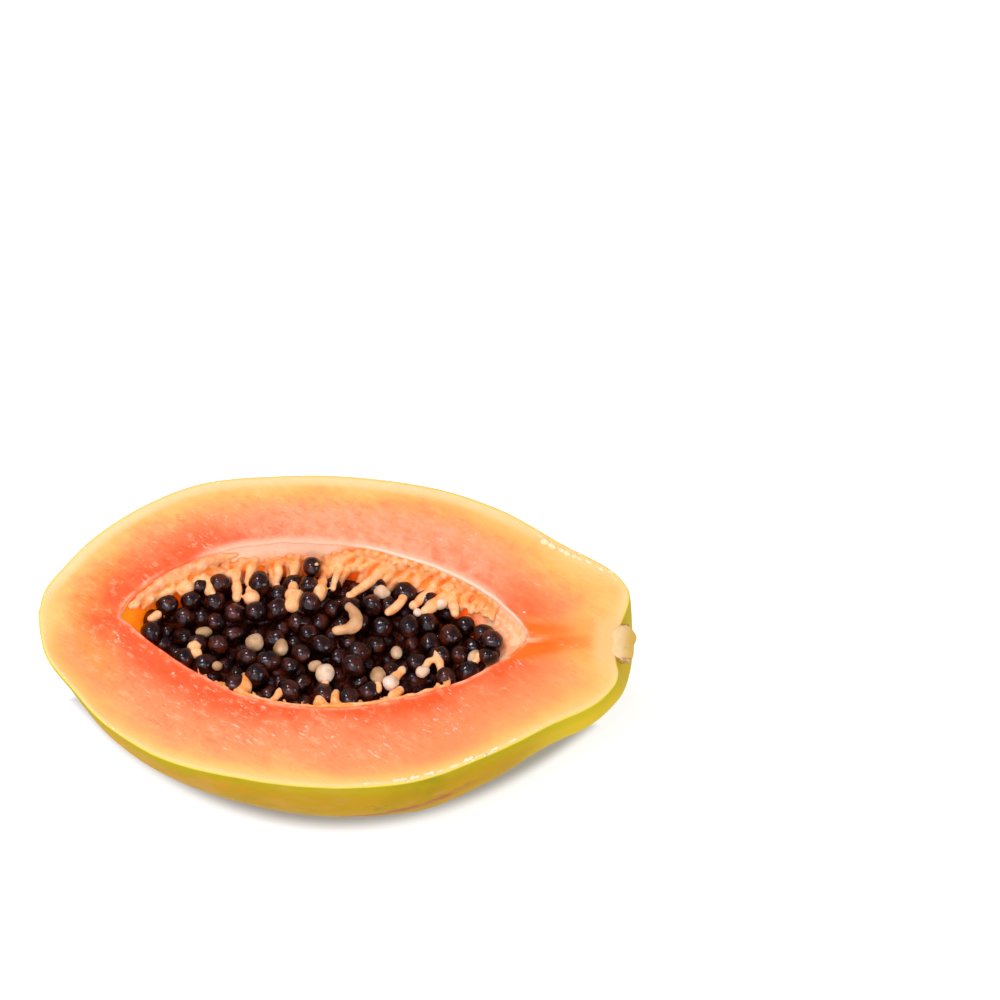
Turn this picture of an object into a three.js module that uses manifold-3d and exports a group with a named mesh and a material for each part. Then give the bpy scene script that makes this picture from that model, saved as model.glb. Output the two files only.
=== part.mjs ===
// Half of a ripe papaya, cut lengthwise and lying on its skin with the cut face up.
// Millimetres, +Z up. +X runs along the fruit towards its stem, and the origin is the middle
// of the small flat spot that the fruit rests on.
import * as THREE from "three";
import Module from "manifold-3d";

const wasm = await Module();
wasm.setup();

// ---- Driving dimensions ------------------------------------------------------------------

// The outline of the cut face from the blossom tip to the bottom of the stem dimple. Each row
// gives [x, distance from the axis] on the far (+Y) side, then the same on the near (-Y) side,
// and then how the skin below differs from a round section, as shares of the radius: the
// bulge of its flanks and the extra depth of its keel.
const OUTLINE = [
  [[-91.0, 0.0], [-91.0, 0.0], 0, -0.22],
  [[-90.0, 8.0], [-89.6, 7.5], 0, -0.22],
  [[-86.0, 15.5], [-86.5, 15.8], 0, -0.22],
  [[-77.6, 27.3], [-79.0, 24.8], 0, -0.2],
  [[-64.0, 39.7], [-66.0, 38.3], 0, -0.13],
  [[-45.5, 50.0], [-47.0, 48.2], 0.01, -0.03],
  [[-20.0, 54.5], [-20.0, 53.6], 0.045, 0],
  [[4.0, 55.1], [4.0, 54.5], 0.055, 0],
  [[30.0, 51.9], [27.0, 51.0], 0.08, 0],
  [[50.0, 44.9], [47.0, 41.7], 0.09, 0],
  [[68.0, 34.6], [66.0, 29.9], 0.09, 0],
  [[82.0, 27.2], [78.5, 22.6], 0.14, 0],
  [[88.6, 20.0], [84.6, 16.2], 0.17, 0],
  [[89.3, 14.5], [86.2, 11.5], 0.17, 0],
  [[87.0, 7.5], [85.4, 7.2], 0.17, 0],
  [[84.0, 0.0], [84.0, 0.0], 0.17, 0],
];
const SHOULDER = 3.6; // how far the shoulder round the stem swells on below the cut face
const LOBE_COUNT = 5; // a papaya grows from five carpels, which show as faint lobes
const LOBE_HEIGHT = 0.013; // share of the radius
const REST_TRIM = 0.6; // how much the fruit's own weight flattens the lowest spot of the skin
const REST_X = -2.0; // the middle of that spot, from the middle of the fruit

// The seed cavity. Its rim narrows towards each tip as (1 - v * v) ** power, where v is the
// share of the way from the widest place to the tip.
const CAVITY = {
  blossomTip: -66.5,
  stemTip: 58.0,
  widest: -8.0,
  far: { size: 30.2, blossomPower: 0.62, stemPower: 0.68 },
  near: { size: 27.6, blossomPower: 1.1, stemPower: 0.8 },
  depth: { size: 29.0, blossomPower: 0.75, stemPower: 0.85 },
};
const CAVITY_LOBES = 0.035; // the five furrows of the cavity wall, as a share of its radius
const CREASE = { reach: 9, width: 4.4, depth: 2.4 }; // runs from the cavity towards the stem

// The seeds lie in a bed, deepest on the far side and along the hollow middle.
const SEED = { length: 6.9, width: 6.2, spread: 0.12 }; // spread is the share by which sizes vary
const SEED_PITCH = 6.3;
const SEED_JITTER = 0.32; // share of the pitch
const SEED_LIFT = 1.8; // how far a seed may stand above or below the bed
const SMALL_SEED = { below: -0.4, sink: 3.4 }; // a seed whose size draw is below that has sunk
const BED = { nearDrop: 3.2, farDrop: 10.5, hollow: 2.6, hollowWidth: 9 };

// Seeds with a place of their own, such as the pale ones that never filled and the two that
// stay stuck up the far wall: [x, y, height above the bed, length, width, turn in degrees].
const OWN_SEEDS = [
  [-40.9, -0.1, 1.2, 5.2, 3.4, 20],
  [-35.6, -13.4, 0.4, 3.4, 2.8, 30],
  [-25.0, -3.1, 1.5, 6.0, 5.4, 65],
  [-16.9, -4.6, 1.5, 5.6, 4.4, 80],
  [-5.9, -11.2, 0.4, 4.2, 3.6, 20],
  [-2.8, -14.3, 1.2, 6.4, 5.6, 75],
  [12.8, 17.4, 2.0, 5.2, 4.0, 0],
  [13.2, -14.0, 1.0, 6.0, 4.6, 100],
  [17.3, -16.5, 1.0, 5.0, 4.6, 40],
  [18.3, -3.5, 0.4, 4.8, 3.4, 100],
  [24.3, 10.7, 2.0, 2.8, 2.4, 0],
  [26.8, -11.7, 1.0, 4.4, 3.6, 20],
  [31.3, 14.2, 2.2, 4.0, 3.6, 0],
  [42.4, -4.5, 0.8, 5.4, 3.8, 60],
  [-9.4, 24.3, 5.0, 6.8, 5.8, 95],
  [-10.0, 18.6, 2.2, 6.6, 5.8, 85],
  [-44.0, 16.8, 2.0, 6.4, 5.8, 80],
  [-37.4, 17.8, 2.0, 7.0, 5.8, 10],
  [-25.6, 7.9, 2.0, 7.0, 6.6, 60],
  [45.2, 4.4, 1.6, 7.0, 6.0, 10],
  [46.4, -4.8, 1.4, 6.2, 5.0, 10],
];
const OWN_ROOM = 4.6; // no other seed starts closer to one of these
// The free strip for the stalks between the bed and the far wall widens in the middle.
const FAR_MARGIN = { least: 2.6, more: 2.4, middle: -18, reach: 14 };
const END_MARGIN = { blossom: 6.4, stem: 7.5 }; // free of seeds at either end of the cavity
// The packed seeds below the top layer start this far under the bed, and stay off the wall and
// clear of the cavity's tips.
const CORE = { sink: 1.0, offWall: 2.5, offBlossomTip: 7, offStemTip: 9, rows: 12, columns: 6 };
const WALL_GAP = 0.9; // between the seeds and the cavity wall
const SEED_SIDES = 6;
const SEED_CLEARANCE = 0.4; // between a stalk and the seeds it touches

// Fleshy stalks that tied the seeds to the wall. A stalk starts at some depth under the rim,
// runs down the wall and then stands proud of it by a share of its length.
const FAR_STALKS = { count: 36, roots: [3.2, 6.5], length: [7, 12], proud: [0.2, 0.5], radius: 1.4 };
const NEAR_STALKS = { count: 17, roots: [1.5, 2.6], length: [2.4, 4], proud: [0.3, 0.5], radius: 1.2 };

// The long stalks that reach in over the seeds, each as points [x, y, depth below the cut face,
// radius] from its root in the wall.
const LONG_STALKS = [
  [[-33.2, 27.5, 9.4, 1.9], [-32.8, 22, 8.2, 1.5], [-32.3, 16.5, 7.1, 1.5], [-31.8, 12.4, 6.8, 1.5]],
  [[-41.4, 22.4, 6.8, 1.4], [-40.7, 18, 6.6, 1.1], [-40, 13.8, 6.6, 1.7]],
  [[-28.6, 28, 9.4, 1.8], [-28.3, 21, 8.2, 1.6], [-28, 16, 7.4, 1.5], [-27.3, 12.6, 7, 2.6]],
  [[-15, 29, 9.6, 2], [-14.8, 19, 7.8, 1.5], [-14.4, 13.4, 6.6, 2.9], [-15, 10.6, 6.5, 2.4]],
  [[-5.4, 30.5, 10.5, 1.3], [-5.8, 22.5, 8.6, 1.2], [-6.6, 17.5, 7.2, 2.3], [-6.9, 15.3, 7, 2]],
  [[0.6, 30.5, 9.5, 1.2], [-1.5, 24, 8, 1.2], [-2.4, 18, 6.9, 1]],
  [[13.6, 29, 9, 1.9], [9.2, 21.5, 7.2, 1.7], [5, 17.3, 6.2, 1.5], [2.9, 14.9, 5.7, 1.3]],
  [[19.2, 27.5, 9, 1.6], [20, 18.6, 7.2, 1.6], [18.6, 13.2, 6, 1.5], [15, 9.5, 5.4, 1.2]],
  [[31.5, 24, 8.6, 1.7], [26.8, 17.7, 7, 1.7], [22.9, 13, 5.9, 1.4]],
  [[35.5, 22, 8, 1.6], [29.8, 14.4, 6.7, 2], [26.4, 11.1, 6.1, 1.6]],
  [[33.4, 23, 8, 1.5], [35.2, 15, 6.8, 1.5], [35.8, 11.2, 6.2, 1.3]],
  [[-27.2, -26, 2.6, 2.4], [-27.3, -20.5, 3.3, 2.2], [-26.8, -16.5, 4.2, 1.7]],
  [[-18.5, -28, 3.2, 1.1], [-17.2, -23.5, 2.6, 1.1], [-14.6, -20.3, 3, 1.1], [-12.2, -18, 3.6, 0.9]],
  [[-3.8, -29, 2.8, 1.8], [-3.7, -23.6, 2.6, 1.8], [-3.4, -20, 3.2, 1.2]],
  [[0.6, -29, 2.6, 1.3], [0.8, -23.5, 2.4, 1.3], [0.9, -21, 2.8, 1]],
  [[16.8, -26.4, 2.6, 1.6], [18.2, -21.5, 2.4, 1.8], [20, -19.3, 2.8, 1.3]],
  [[34.2, -20, 4.6, 1.2], [33, -13.5, 4.2, 1.4], [31.6, -8, 4.2, 1.3], [30.4, -4.2, 4.8, 1]],
];
const LONG_STALK_ROOM = 2.4; // no short stalk starts closer to one of these, along the wall
const STALK_SIDES = 5;

const STEM = {
  base: 79.0,
  tip: 91.8,
  radii: [[79.0, 5.4], [83.0, 6.6], [86.5, 7.0], [89.5, 5.9], [91.3, 3.4]],
};
const STEM_GAP = 0.35;

// ---- Levels worked out from those ---------------------------------------------------------

const WIDEST_RADIUS = Math.max(...OUTLINE.map(([far, near]) => (far[1] + near[1]) / 2));
const CUT_LEVEL = WIDEST_RADIUS * (1 + LOBE_HEIGHT) - REST_TRIM; // height of the cut face

// ---- Small tools --------------------------------------------------------------------------

// A seeded generator, so that every build draws the same numbers.
function seededRandom(start) {
  let state = start;
  return () => {
    state = (Math.imul(state, 1664525) + 1013904223) >>> 0;
    return state / 4294967296;
  };
}

function mix(a, b, share) {
  return a + (b - a) * share;
}

// A closed solid from rings of points, all with the same count, between two end points.
function loft(start, rings, end) {
  const points = [start, ...rings.flat(), end];
  const count = rings[0].length;
  const last = points.length - 1;
  const triangles = [];
  for (let j = 0; j < count; j++) {
    const next = (j + 1) % count;
    triangles.push(0, 1 + next, 1 + j);
    for (let i = 0; i + 1 < rings.length; i++) {
      const here = 1 + i * count;
      const there = here + count;
      triangles.push(here + j, here + next, there + j);
      triangles.push(here + next, there + next, there + j);
    }
    const final = last - count;
    triangles.push(last, final + j, final + next);
  }
  return solid(points.flat(), triangles);
}

// A manifold-3d solid with its faces turned outwards.
function solid(coordinates, triangles) {
  const make = (triVerts) =>
    new wasm.Manifold(
      new wasm.Mesh({
        numProp: 3,
        vertProperties: new Float32Array(coordinates),
        triVerts: new Uint32Array(triVerts),
      }),
    );
  const made = make(triangles);
  return made.volume() > 0 ? made : make([...triangles].reverse());
}

function box(low, high) {
  const corners = (x) => [
    [x, low[1], low[2]],
    [x, high[1], low[2]],
    [x, high[1], high[2]],
    [x, low[1], high[2]],
  ];
  const middle = (x) => [x, mix(low[1], high[1], 0.5), mix(low[2], high[2], 0.5)];
  return loft(middle(low[0]), [corners(low[0]), corners(high[0])], middle(high[0]));
}

function largestPiece(shape) {
  return shape.decompose().sort((a, b) => b.volume() - a.volume())[0];
}

// ---- The fruit ----------------------------------------------------------------------------

const farCurve = new THREE.SplineCurve(OUTLINE.map(([far]) => new THREE.Vector2(...far)));
const nearCurve = new THREE.SplineCurve(OUTLINE.map(([, near]) => new THREE.Vector2(...near)));
const sectionCurve = new THREE.SplineCurve(
  OUTLINE.map(([, , flank, keel]) => new THREE.Vector2(flank, keel)),
);

// A point of the skin: t runs from the blossom tip (0) to the stem (1), and the angle turns
// from the far edge of the cut face (0) down under the fruit to its near edge (pi).
function skinPoint(t, angle) {
  const far = farCurve.getPoint(t);
  const near = nearCurve.getPoint(t);
  const section = sectionCurve.getPoint(t);
  const nearShare = (1 - Math.cos(angle)) / 2;
  const down = Math.max(0, Math.sin(angle));
  const ends = Math.sin(Math.PI * t) ** 0.5;
  const lobe = 1 + LOBE_HEIGHT * ends * Math.sin(LOBE_COUNT * angle);
  const shape = 1 + section.x * Math.sin(2 * angle) ** 2 + section.y * down;
  const radius = mix(far.y, near.y, nearShare) * lobe * shape;
  const swell = SHOULDER * down * THREE.MathUtils.smoothstep(t, 0.72, 0.88);
  const x = mix(far.x, near.x, nearShare) + swell;
  return [x, radius * Math.cos(angle), CUT_LEVEL - radius * Math.sin(angle)];
}

function wholeFruit(alongSteps, aroundSteps) {
  const rings = [];
  for (let i = 1; i < alongSteps; i++) {
    const ring = [];
    for (let j = 0; j < aroundSteps; j++) {
      ring.push(skinPoint(i / alongSteps, (2 * Math.PI * j) / aroundSteps));
    }
    rings.push(ring);
  }
  return loft(skinPoint(0, 0), rings, skinPoint(1, 0));
}

// How far one side of the cavity reaches at x, less an inset.
function reach(side, x, inset = 0) {
  const towardsStem = x > CAVITY.widest;
  const tip = towardsStem ? CAVITY.stemTip - 2 * inset : CAVITY.blossomTip + 2 * inset;
  const v = Math.min(1, (x - CAVITY.widest) / (tip - CAVITY.widest));
  const power = towardsStem ? side.stemPower : side.blossomPower;
  return Math.max(0, side.size - inset) * (1 - v * v) ** power;
}

// A point of the cavity wall at x. The angle runs as in skinPoint; past pi it closes the
// cavity over the cut face, lid high.
function wallPoint(x, angle, inset = 0, lid = 8) {
  const side = Math.cos(angle) > 0 ? CAVITY.far : CAVITY.near;
  const furrow = 1 + CAVITY_LOBES * Math.sin(LOBE_COUNT * angle) * Math.sign(Math.sin(angle));
  const across = reach(side, x, inset) * Math.cos(angle);
  const down = Math.sin(angle);
  const deep = down > 0 ? reach(CAVITY.depth, x, inset) * down * furrow : lid * down;
  return [x, across, CUT_LEVEL - deep];
}

function cavitySolid(alongSteps, aroundSteps, inset = 0) {
  const low = CAVITY.blossomTip + 2 * inset;
  const high = CAVITY.stemTip - 2 * inset;
  const rings = [];
  for (let i = 1; i < alongSteps; i++) {
    // Even steps of a cosine put more rings near the round tips.
    const x = mix(low, high, (1 - Math.cos((Math.PI * i) / alongSteps)) / 2);
    const ring = [];
    for (let j = 0; j < aroundSteps; j++) {
      ring.push(wallPoint(x, (2 * Math.PI * j) / aroundSteps, inset));
    }
    rings.push(ring);
  }
  return loft([low, 0, CUT_LEVEL], rings, [high, 0, CUT_LEVEL]);
}

// The shallow furrow in the cut face where the seed stalks' strand ran to the stem.
function creaseSolid() {
  const start = CAVITY.stemTip - CREASE.reach / 2;
  const end = CAVITY.stemTip + CREASE.reach;
  const wedge = (share) => {
    const x = mix(start, end, share);
    const half = (CREASE.width / 2) * (1 - share) ** 0.8 + 0.05;
    const down = CREASE.depth * (1 - share) + 0.05;
    return [
      [x, -half, CUT_LEVEL + 1],
      [x, half, CUT_LEVEL + 1],
      [x, half, CUT_LEVEL],
      [x, 0, CUT_LEVEL - down],
      [x, -half, CUT_LEVEL],
    ];
  };
  const sections = [0, 0.4, 0.7, 0.9, 1].map(wedge);
  return loft([start, 0, CUT_LEVEL], sections, [end, 0, CUT_LEVEL]);
}

// ---- The seeds ----------------------------------------------------------------------------

// Height of the seed bed at a place in the cavity.
function bedLevel(x, y) {
  const far = reach(CAVITY.far, x);
  const near = reach(CAVITY.near, x);
  const across = Math.min(1, Math.max(0, (y + near) / Math.max(1, far + near)));
  const narrow = Math.min(1, (far + near) / 30);
  const hollow = BED.hollow * Math.exp(-((y / BED.hollowWidth) ** 2)) * narrow;
  return CUT_LEVEL - mix(BED.nearDrop, BED.farDrop * narrow, across ** 1.4) - hollow;
}

// The widest that the cavity is at x on a level, on the far or near side.
function wallReach(side, x, level) {
  const depth = Math.max(0.1, reach(CAVITY.depth, x));
  const down = Math.min(1, Math.max(0, (CUT_LEVEL - level) / depth));
  return reach(side, x) * Math.sqrt(1 - down * down);
}

function farMargin(x) {
  const away = (x - FAR_MARGIN.middle) / FAR_MARGIN.reach;
  return FAR_MARGIN.least + FAR_MARGIN.more * Math.exp(-away * away);
}

// Brings a seed back inside the cavity wall, towards the bed's height and below the cut face.
function keepInBed(seed) {
  if (seed.own) return;
  const half = SEED.width / 2;
  const low = CAVITY.blossomTip + half + END_MARGIN.blossom;
  const high = CAVITY.stemTip - half - END_MARGIN.stem;
  seed.x = Math.min(high, Math.max(low, seed.x));
  seed.z = mix(seed.z, bedLevel(seed.x, seed.y) + seed.lift, 0.25);
  seed.z = Math.min(seed.z, CUT_LEVEL - half * seed.scale - 0.3);
  const far = wallReach(CAVITY.far, seed.x, seed.z) - half - farMargin(seed.x);
  const near = wallReach(CAVITY.near, seed.x, seed.z) - half - WALL_GAP;
  seed.y = Math.min(Math.max(far, 0.5), Math.max(Math.min(-near, -0.5), seed.y));
}

// Pushes every two seeds that are too close apart, each by half of what is missing. A seed
// with a place of its own stays, and the other one makes up for it.
function pushApart(seeds) {
  for (let i = 0; i < seeds.length; i++) {
    for (let j = i + 1; j < seeds.length; j++) {
      const a = seeds[i];
      const b = seeds[j];
      const gap = [b.x - a.x, b.y - a.y, b.z - a.z];
      const distance = Math.sqrt(gap[0] ** 2 + gap[1] ** 2 + gap[2] ** 2);
      const wanted = ((a.scale + b.scale) / 2) * SEED.width * 1.02;
      if (distance < wanted && distance > 0) {
        const missing = (wanted - distance) / distance;
        const back = a.own ? 0 : b.own ? missing : missing / 2;
        const on = b.own ? 0 : missing - back;
        a.x -= gap[0] * back;
        a.y -= gap[1] * back;
        a.z -= gap[2] * back;
        b.x += gap[0] * on;
        b.y += gap[1] * on;
        b.z += gap[2] * on;
      }
    }
  }
}

// The top layer of seeds: a close-packed lattice, shaken by a seeded draw and then settled.
function seedPlaces() {
  const random = seededRandom(20);
  const spread = () => 2 * random() - 1;
  const rowPitch = SEED_PITCH * Math.sqrt(0.75);
  const seeds = OWN_SEEDS.map(([x, y, lift, length, width, turn]) => {
    const z = Math.min(bedLevel(x, y) + lift, CUT_LEVEL - width / 2 - 0.3);
    const scale = width / SEED.width;
    const stretch = length / (SEED.length * scale);
    return { x, y, z, own: true, scale, stretch, tilt: 0.2, turn: (turn * Math.PI) / 180 };
  });
  for (let row = -6; row <= 6; row++) {
    for (let column = -14; column <= 14; column++) {
      const draws = [spread(), spread(), spread(), spread(), spread(), spread(), spread()];
      const x = (column + (row % 2 ? 0.5 : 0)) * SEED_PITCH + CAVITY.widest;
      const y = row * rowPitch + 0.8;
      if (OWN_SEEDS.some((own) => Math.hypot(x - own[0], y - own[1]) < OWN_ROOM)) continue;
      if (y > reach(CAVITY.far, x) - farMargin(x) - 2 || y < -reach(CAVITY.near, x) + 2) continue;
      const seed = {
        x: x + draws[0] * SEED_JITTER * SEED_PITCH,
        y: y + draws[1] * SEED_JITTER * SEED_PITCH,
        z: 0,
        lift: draws[2] * SEED_LIFT - (draws[3] < SMALL_SEED.below ? SMALL_SEED.sink : 0),
        scale: 1 + draws[3] * SEED.spread,
        turn: draws[4] * Math.PI,
        tilt: draws[5] * 0.8,
        stretch: 1 + draws[6] * 0.06,
      };
      seed.z = bedLevel(seed.x, seed.y) + seed.lift;
      seeds.push(seed);
    }
  }
  for (let round = 0; round < 60; round++) {
    pushApart(seeds);
    seeds.forEach(keepInBed);
  }
  return seeds;
}

// One seed as a faceted egg, grown on every side by some margin.
function seedSolid(seed, margin = 0) {
  const half = (SEED.length / 2) * seed.scale * seed.stretch + margin;
  const wide = (SEED.width / 2) * seed.scale + margin;
  const place = new THREE.Matrix4()
    .makeRotationZ(seed.turn)
    .multiply(new THREE.Matrix4().makeRotationY(seed.tilt))
    .setPosition(seed.x, seed.y, seed.z);
  const put = (x, y, z) => new THREE.Vector3(x, y, z).applyMatrix4(place).toArray();
  const ringAt = (latitude) =>
    Array.from({ length: SEED_SIDES }, (_, k) => {
      const around = (2 * Math.PI * (k + 0.5)) / SEED_SIDES;
      const radius = wide * Math.cos(latitude);
      return put(half * Math.sin(latitude), radius * Math.cos(around), radius * Math.sin(around));
    });
  const latitudes = [-0.75, 0, 0.75];
  return loft(put(-half, 0, 0), latitudes.map(ringAt), put(half, 0, 0));
}

// The packed seeds below the top layer, as one block under the bed's surface.
function packedCore() {
  const low = CAVITY.blossomTip + CORE.offBlossomTip;
  const high = CAVITY.stemTip - CORE.offStemTip;
  const far = CAVITY.far.size;
  const near = -CAVITY.near.size;
  const floor = CUT_LEVEL - CAVITY.depth.size;
  const section = (x) => {
    const ring = [];
    for (let j = 0; j <= CORE.columns; j++) {
      const y = mix(near, far, j / CORE.columns);
      ring.push([x, y, bedLevel(x, y) - CORE.sink]);
    }
    ring.push([x, far, floor], [x, near, floor]);
    return ring;
  };
  const rings = [];
  for (let i = 0; i <= CORE.rows; i++) {
    rings.push(section(mix(low, high, i / CORE.rows)));
  }
  const block = loft([low, 0, floor + 1], rings, [high, 0, floor + 1]);
  return block.intersect(cavitySolid(16, 16, CORE.offWall));
}

function seedHeap(seeds, margin = 0) {
  const heap = wasm.Manifold.union([packedCore(), ...seeds.map((s) => seedSolid(s, margin))]);
  return margin ? heap : heap.intersect(cavitySolid(18, 22, WALL_GAP));
}

// ---- The stalks on the cavity wall --------------------------------------------------------

// A blunt stalk along a bent line of points, each [x, y, z, radius].
function stalkSolid(line) {
  const curve = line.map(([x, y, z]) => new THREE.Vector3(x, y, z));
  const ringAt = (i) => {
    const ahead = curve[Math.min(i + 1, curve.length - 1)];
    const behind = curve[Math.max(i - 1, 0)];
    const along = ahead.clone().sub(behind).normalize();
    const side = new THREE.Vector3(1, 0, 0).addScaledVector(along, -along.x).normalize();
    const up = along.clone().cross(side);
    return Array.from({ length: STALK_SIDES }, (_, k) => {
      const turn = (2 * Math.PI * k) / STALK_SIDES;
      return curve[i]
        .clone()
        .addScaledVector(side, line[i][3] * Math.cos(turn))
        .addScaledVector(up, line[i][3] * 0.8 * Math.sin(turn))
        .toArray();
    });
  };
  const end = curve.at(-1);
  const onward = end.clone().sub(curve.at(-2)).setLength(line.at(-1)[3] * 0.6);
  return loft(curve[0].toArray(), line.map((_, i) => ringAt(i)), end.clone().add(onward).toArray());
}

// Stalks in a row along one side of the cavity, from inside the wall over to the seeds.
function stalkRow(side, sign, { count, roots, length, proud, radius }, random) {
  const stalks = [];
  for (let i = 0; i < count; i++) {
    const share = (i + 0.5 + 0.5 * (random() - 0.5)) / count;
    const x = mix(CAVITY.blossomTip + 5, CAVITY.stemTip - 8, share);
    const root = mix(roots[0], roots[1], random());
    const long = mix(length[0], length[1], random());
    const out = long * mix(proud[0], proud[1], random());
    const thick = radius * mix(0.75, 1.15, random());
    const lean = (random() - 0.5) * 4;
    const taken = LONG_STALKS.filter(([start]) => start[1] * sign > 0);
    if (taken.some(([start]) => Math.abs(start[0] - x) < LONG_STALK_ROOM)) continue;
    const depth = reach(CAVITY.depth, x);
    const down = Math.min(root, depth * 0.35);
    const wall = (drop) => sign * wallReach(side, x, CUT_LEVEL - drop);
    const line = [[0, -1.6], [0.35, 0.6], [0.7, out / 2], [1, out]].map(([along, stand]) => {
      const drop = Math.min(down + along * (long - out / 2) * 0.7, depth * 0.75);
      const y = wall(drop) - sign * stand;
      return [x + lean * along, y, CUT_LEVEL - drop, thick * (1.05 - 0.25 * along)];
    });
    stalks.push(stalkSolid(line));
  }
  return stalks;
}

function allStalks() {
  const random = seededRandom(5);
  const long = LONG_STALKS.map((line) => line.map(([x, y, down, r]) => [x, y, CUT_LEVEL - down, r]));
  return wasm.Manifold.union([
    ...stalkRow(CAVITY.far, 1, FAR_STALKS, random),
    ...stalkRow(CAVITY.near, -1, NEAR_STALKS, random),
    ...long.map(stalkSolid),
  ]);
}

// ---- The stem -----------------------------------------------------------------------------

function stemSolid(margin = 0) {
  const sides = 16;
  const rings = STEM.radii.map(([x, radius], i) =>
    Array.from({ length: sides }, (_, k) => {
      const turn = (2 * Math.PI * k) / sides;
      const grown = radius + margin;
      const along = i === 0 ? x - margin : x;
      return [along, grown * Math.cos(turn), CUT_LEVEL - grown * Math.sin(turn)];
    }),
  );
  return loft([STEM.base - margin, 0, CUT_LEVEL], rings, [STEM.tip + margin, 0, CUT_LEVEL]);
}

// ---- Assembly -----------------------------------------------------------------------------

// The solid as a mesh of the exported group.
function meshOf(name, shape, look) {
  const { vertProperties, triVerts, numProp } = shape.getMesh();
  const geometry = new THREE.BufferGeometry();
  const positions = new Float32Array((vertProperties.length / numProp) * 3);
  for (let i = 0; i < positions.length / 3; i++) {
    positions.set(vertProperties.subarray(i * numProp, i * numProp + 3), i * 3);
  }
  geometry.setAttribute("position", new THREE.BufferAttribute(positions, 3));
  geometry.setIndex(new THREE.BufferAttribute(triVerts, 1));
  geometry.computeVertexNormals();
  const mesh = new THREE.Mesh(geometry, new THREE.MeshStandardMaterial(look));
  mesh.name = name;
  return mesh;
}

const belowCut = box([-120, -80, 0], [120, 80, CUT_LEVEL]);
const seeds = seedPlaces();
const stalks = allStalks().intersect(belowCut).subtract(seedHeap(seeds, SEED_CLEARANCE));
const shell = wholeFruit(40, 48)
  .intersect(belowCut)
  .subtract(cavitySolid(26, 32))
  .subtract(creaseSolid());
const fruit = largestPiece(shell.add(stalks).subtract(stemSolid(STEM_GAP)));

const papaya = new THREE.Group();
papaya.add(
  meshOf("papaya_half", fruit, { color: "#f08a4b", roughness: 0.4, metalness: 0 }),
  meshOf("seeds", largestPiece(seedHeap(seeds)), { color: "#231714", roughness: 0.25, metalness: 0 }),
  meshOf("stem", stemSolid().intersect(belowCut), { color: "#d8d79b", roughness: 0.7, metalness: 0 }),
);
papaya.position.set(-REST_X, 0, 0);

export default papaya;
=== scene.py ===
import math

import bmesh
import bpy
import numpy as np
from mathutils import Matrix, Vector, noise


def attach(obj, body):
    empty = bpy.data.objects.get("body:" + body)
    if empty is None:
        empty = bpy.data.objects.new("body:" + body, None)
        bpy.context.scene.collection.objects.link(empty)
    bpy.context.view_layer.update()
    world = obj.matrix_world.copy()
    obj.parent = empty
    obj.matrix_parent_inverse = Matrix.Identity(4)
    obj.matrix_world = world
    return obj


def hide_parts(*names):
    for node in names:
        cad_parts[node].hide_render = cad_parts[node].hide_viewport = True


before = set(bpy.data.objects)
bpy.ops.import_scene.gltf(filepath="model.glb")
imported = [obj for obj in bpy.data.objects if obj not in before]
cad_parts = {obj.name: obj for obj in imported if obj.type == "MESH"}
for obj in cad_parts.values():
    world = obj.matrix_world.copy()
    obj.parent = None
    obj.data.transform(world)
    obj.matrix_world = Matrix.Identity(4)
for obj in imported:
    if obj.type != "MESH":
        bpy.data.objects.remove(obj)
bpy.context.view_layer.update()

MM = 0.001
REST_X = -2  # the spot the half rests on, from the middle of the fruit

# ---- The fruit's dimensions ----

# Outline of the cut face from the blossom tip to the bottom of the stem dimple: [x, distance
# from the axis] on the far side, the same on the near side, and then how the skin below
# differs from a round section: the bulge of its flanks and the extra depth of its keel.
OUTLINE = [
    [[-91, 0], [-91, 0], 0, -0.22],
    [[-90, 8], [-89.6, 7.5], 0, -0.22],
    [[-86, 15.5], [-86.5, 15.8], 0, -0.22],
    [[-77.6, 27.3], [-79, 24.8], 0, -0.2],
    [[-64, 39.7], [-66, 38.3], 0, -0.13],
    [[-45.5, 50], [-47, 48.2], 0.01, -0.03],
    [[-20, 54.5], [-20, 53.6], 0.045, 0],
    [[4, 55.1], [4, 54.5], 0.055, 0],
    [[30, 51.9], [27, 51], 0.08, 0],
    [[50, 44.9], [47, 41.7], 0.09, 0],
    [[68, 34.6], [66, 29.9], 0.09, 0],
    [[82, 27.2], [78.5, 22.6], 0.14, 0],
    [[88.6, 20], [84.6, 16.2], 0.17, 0],
    [[89.3, 14.5], [86.2, 11.5], 0.17, 0],
    [[87, 7.5], [85.4, 7.2], 0.17, 0],
    [[84, 0], [84, 0], 0.17, 0],
]
SHOULDER = 3.6  # how far the shoulder round the stem swells on below the cut face
FAR_LINE = np.array([row[0] for row in OUTLINE])
NEAR_LINE = np.array([row[1] for row in OUTLINE])
SECTION = np.array([row[2:] for row in OUTLINE])
LOBE_COUNT = 5
LOBE_HEIGHT = 0.013
REST_TRIM = 0.6
CUT_LEVEL = max((row[0][1] + row[1][1]) / 2 for row in OUTLINE) * (1 + LOBE_HEIGHT) - REST_TRIM

BLOSSOM_TIP, STEM_TIP, WIDEST = -66.5, 58, -8
FAR = (30.2, 0.62, 0.68)  # half width of the cavity, then its power towards either tip
NEAR = (27.6, 1.1, 0.8)
DEPTH = (29, 0.75, 0.85)
CAVITY_LOBES = 0.035
CREASE = (9, 4.4, 2.4)  # reach past the cavity's tip, width, depth

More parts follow.
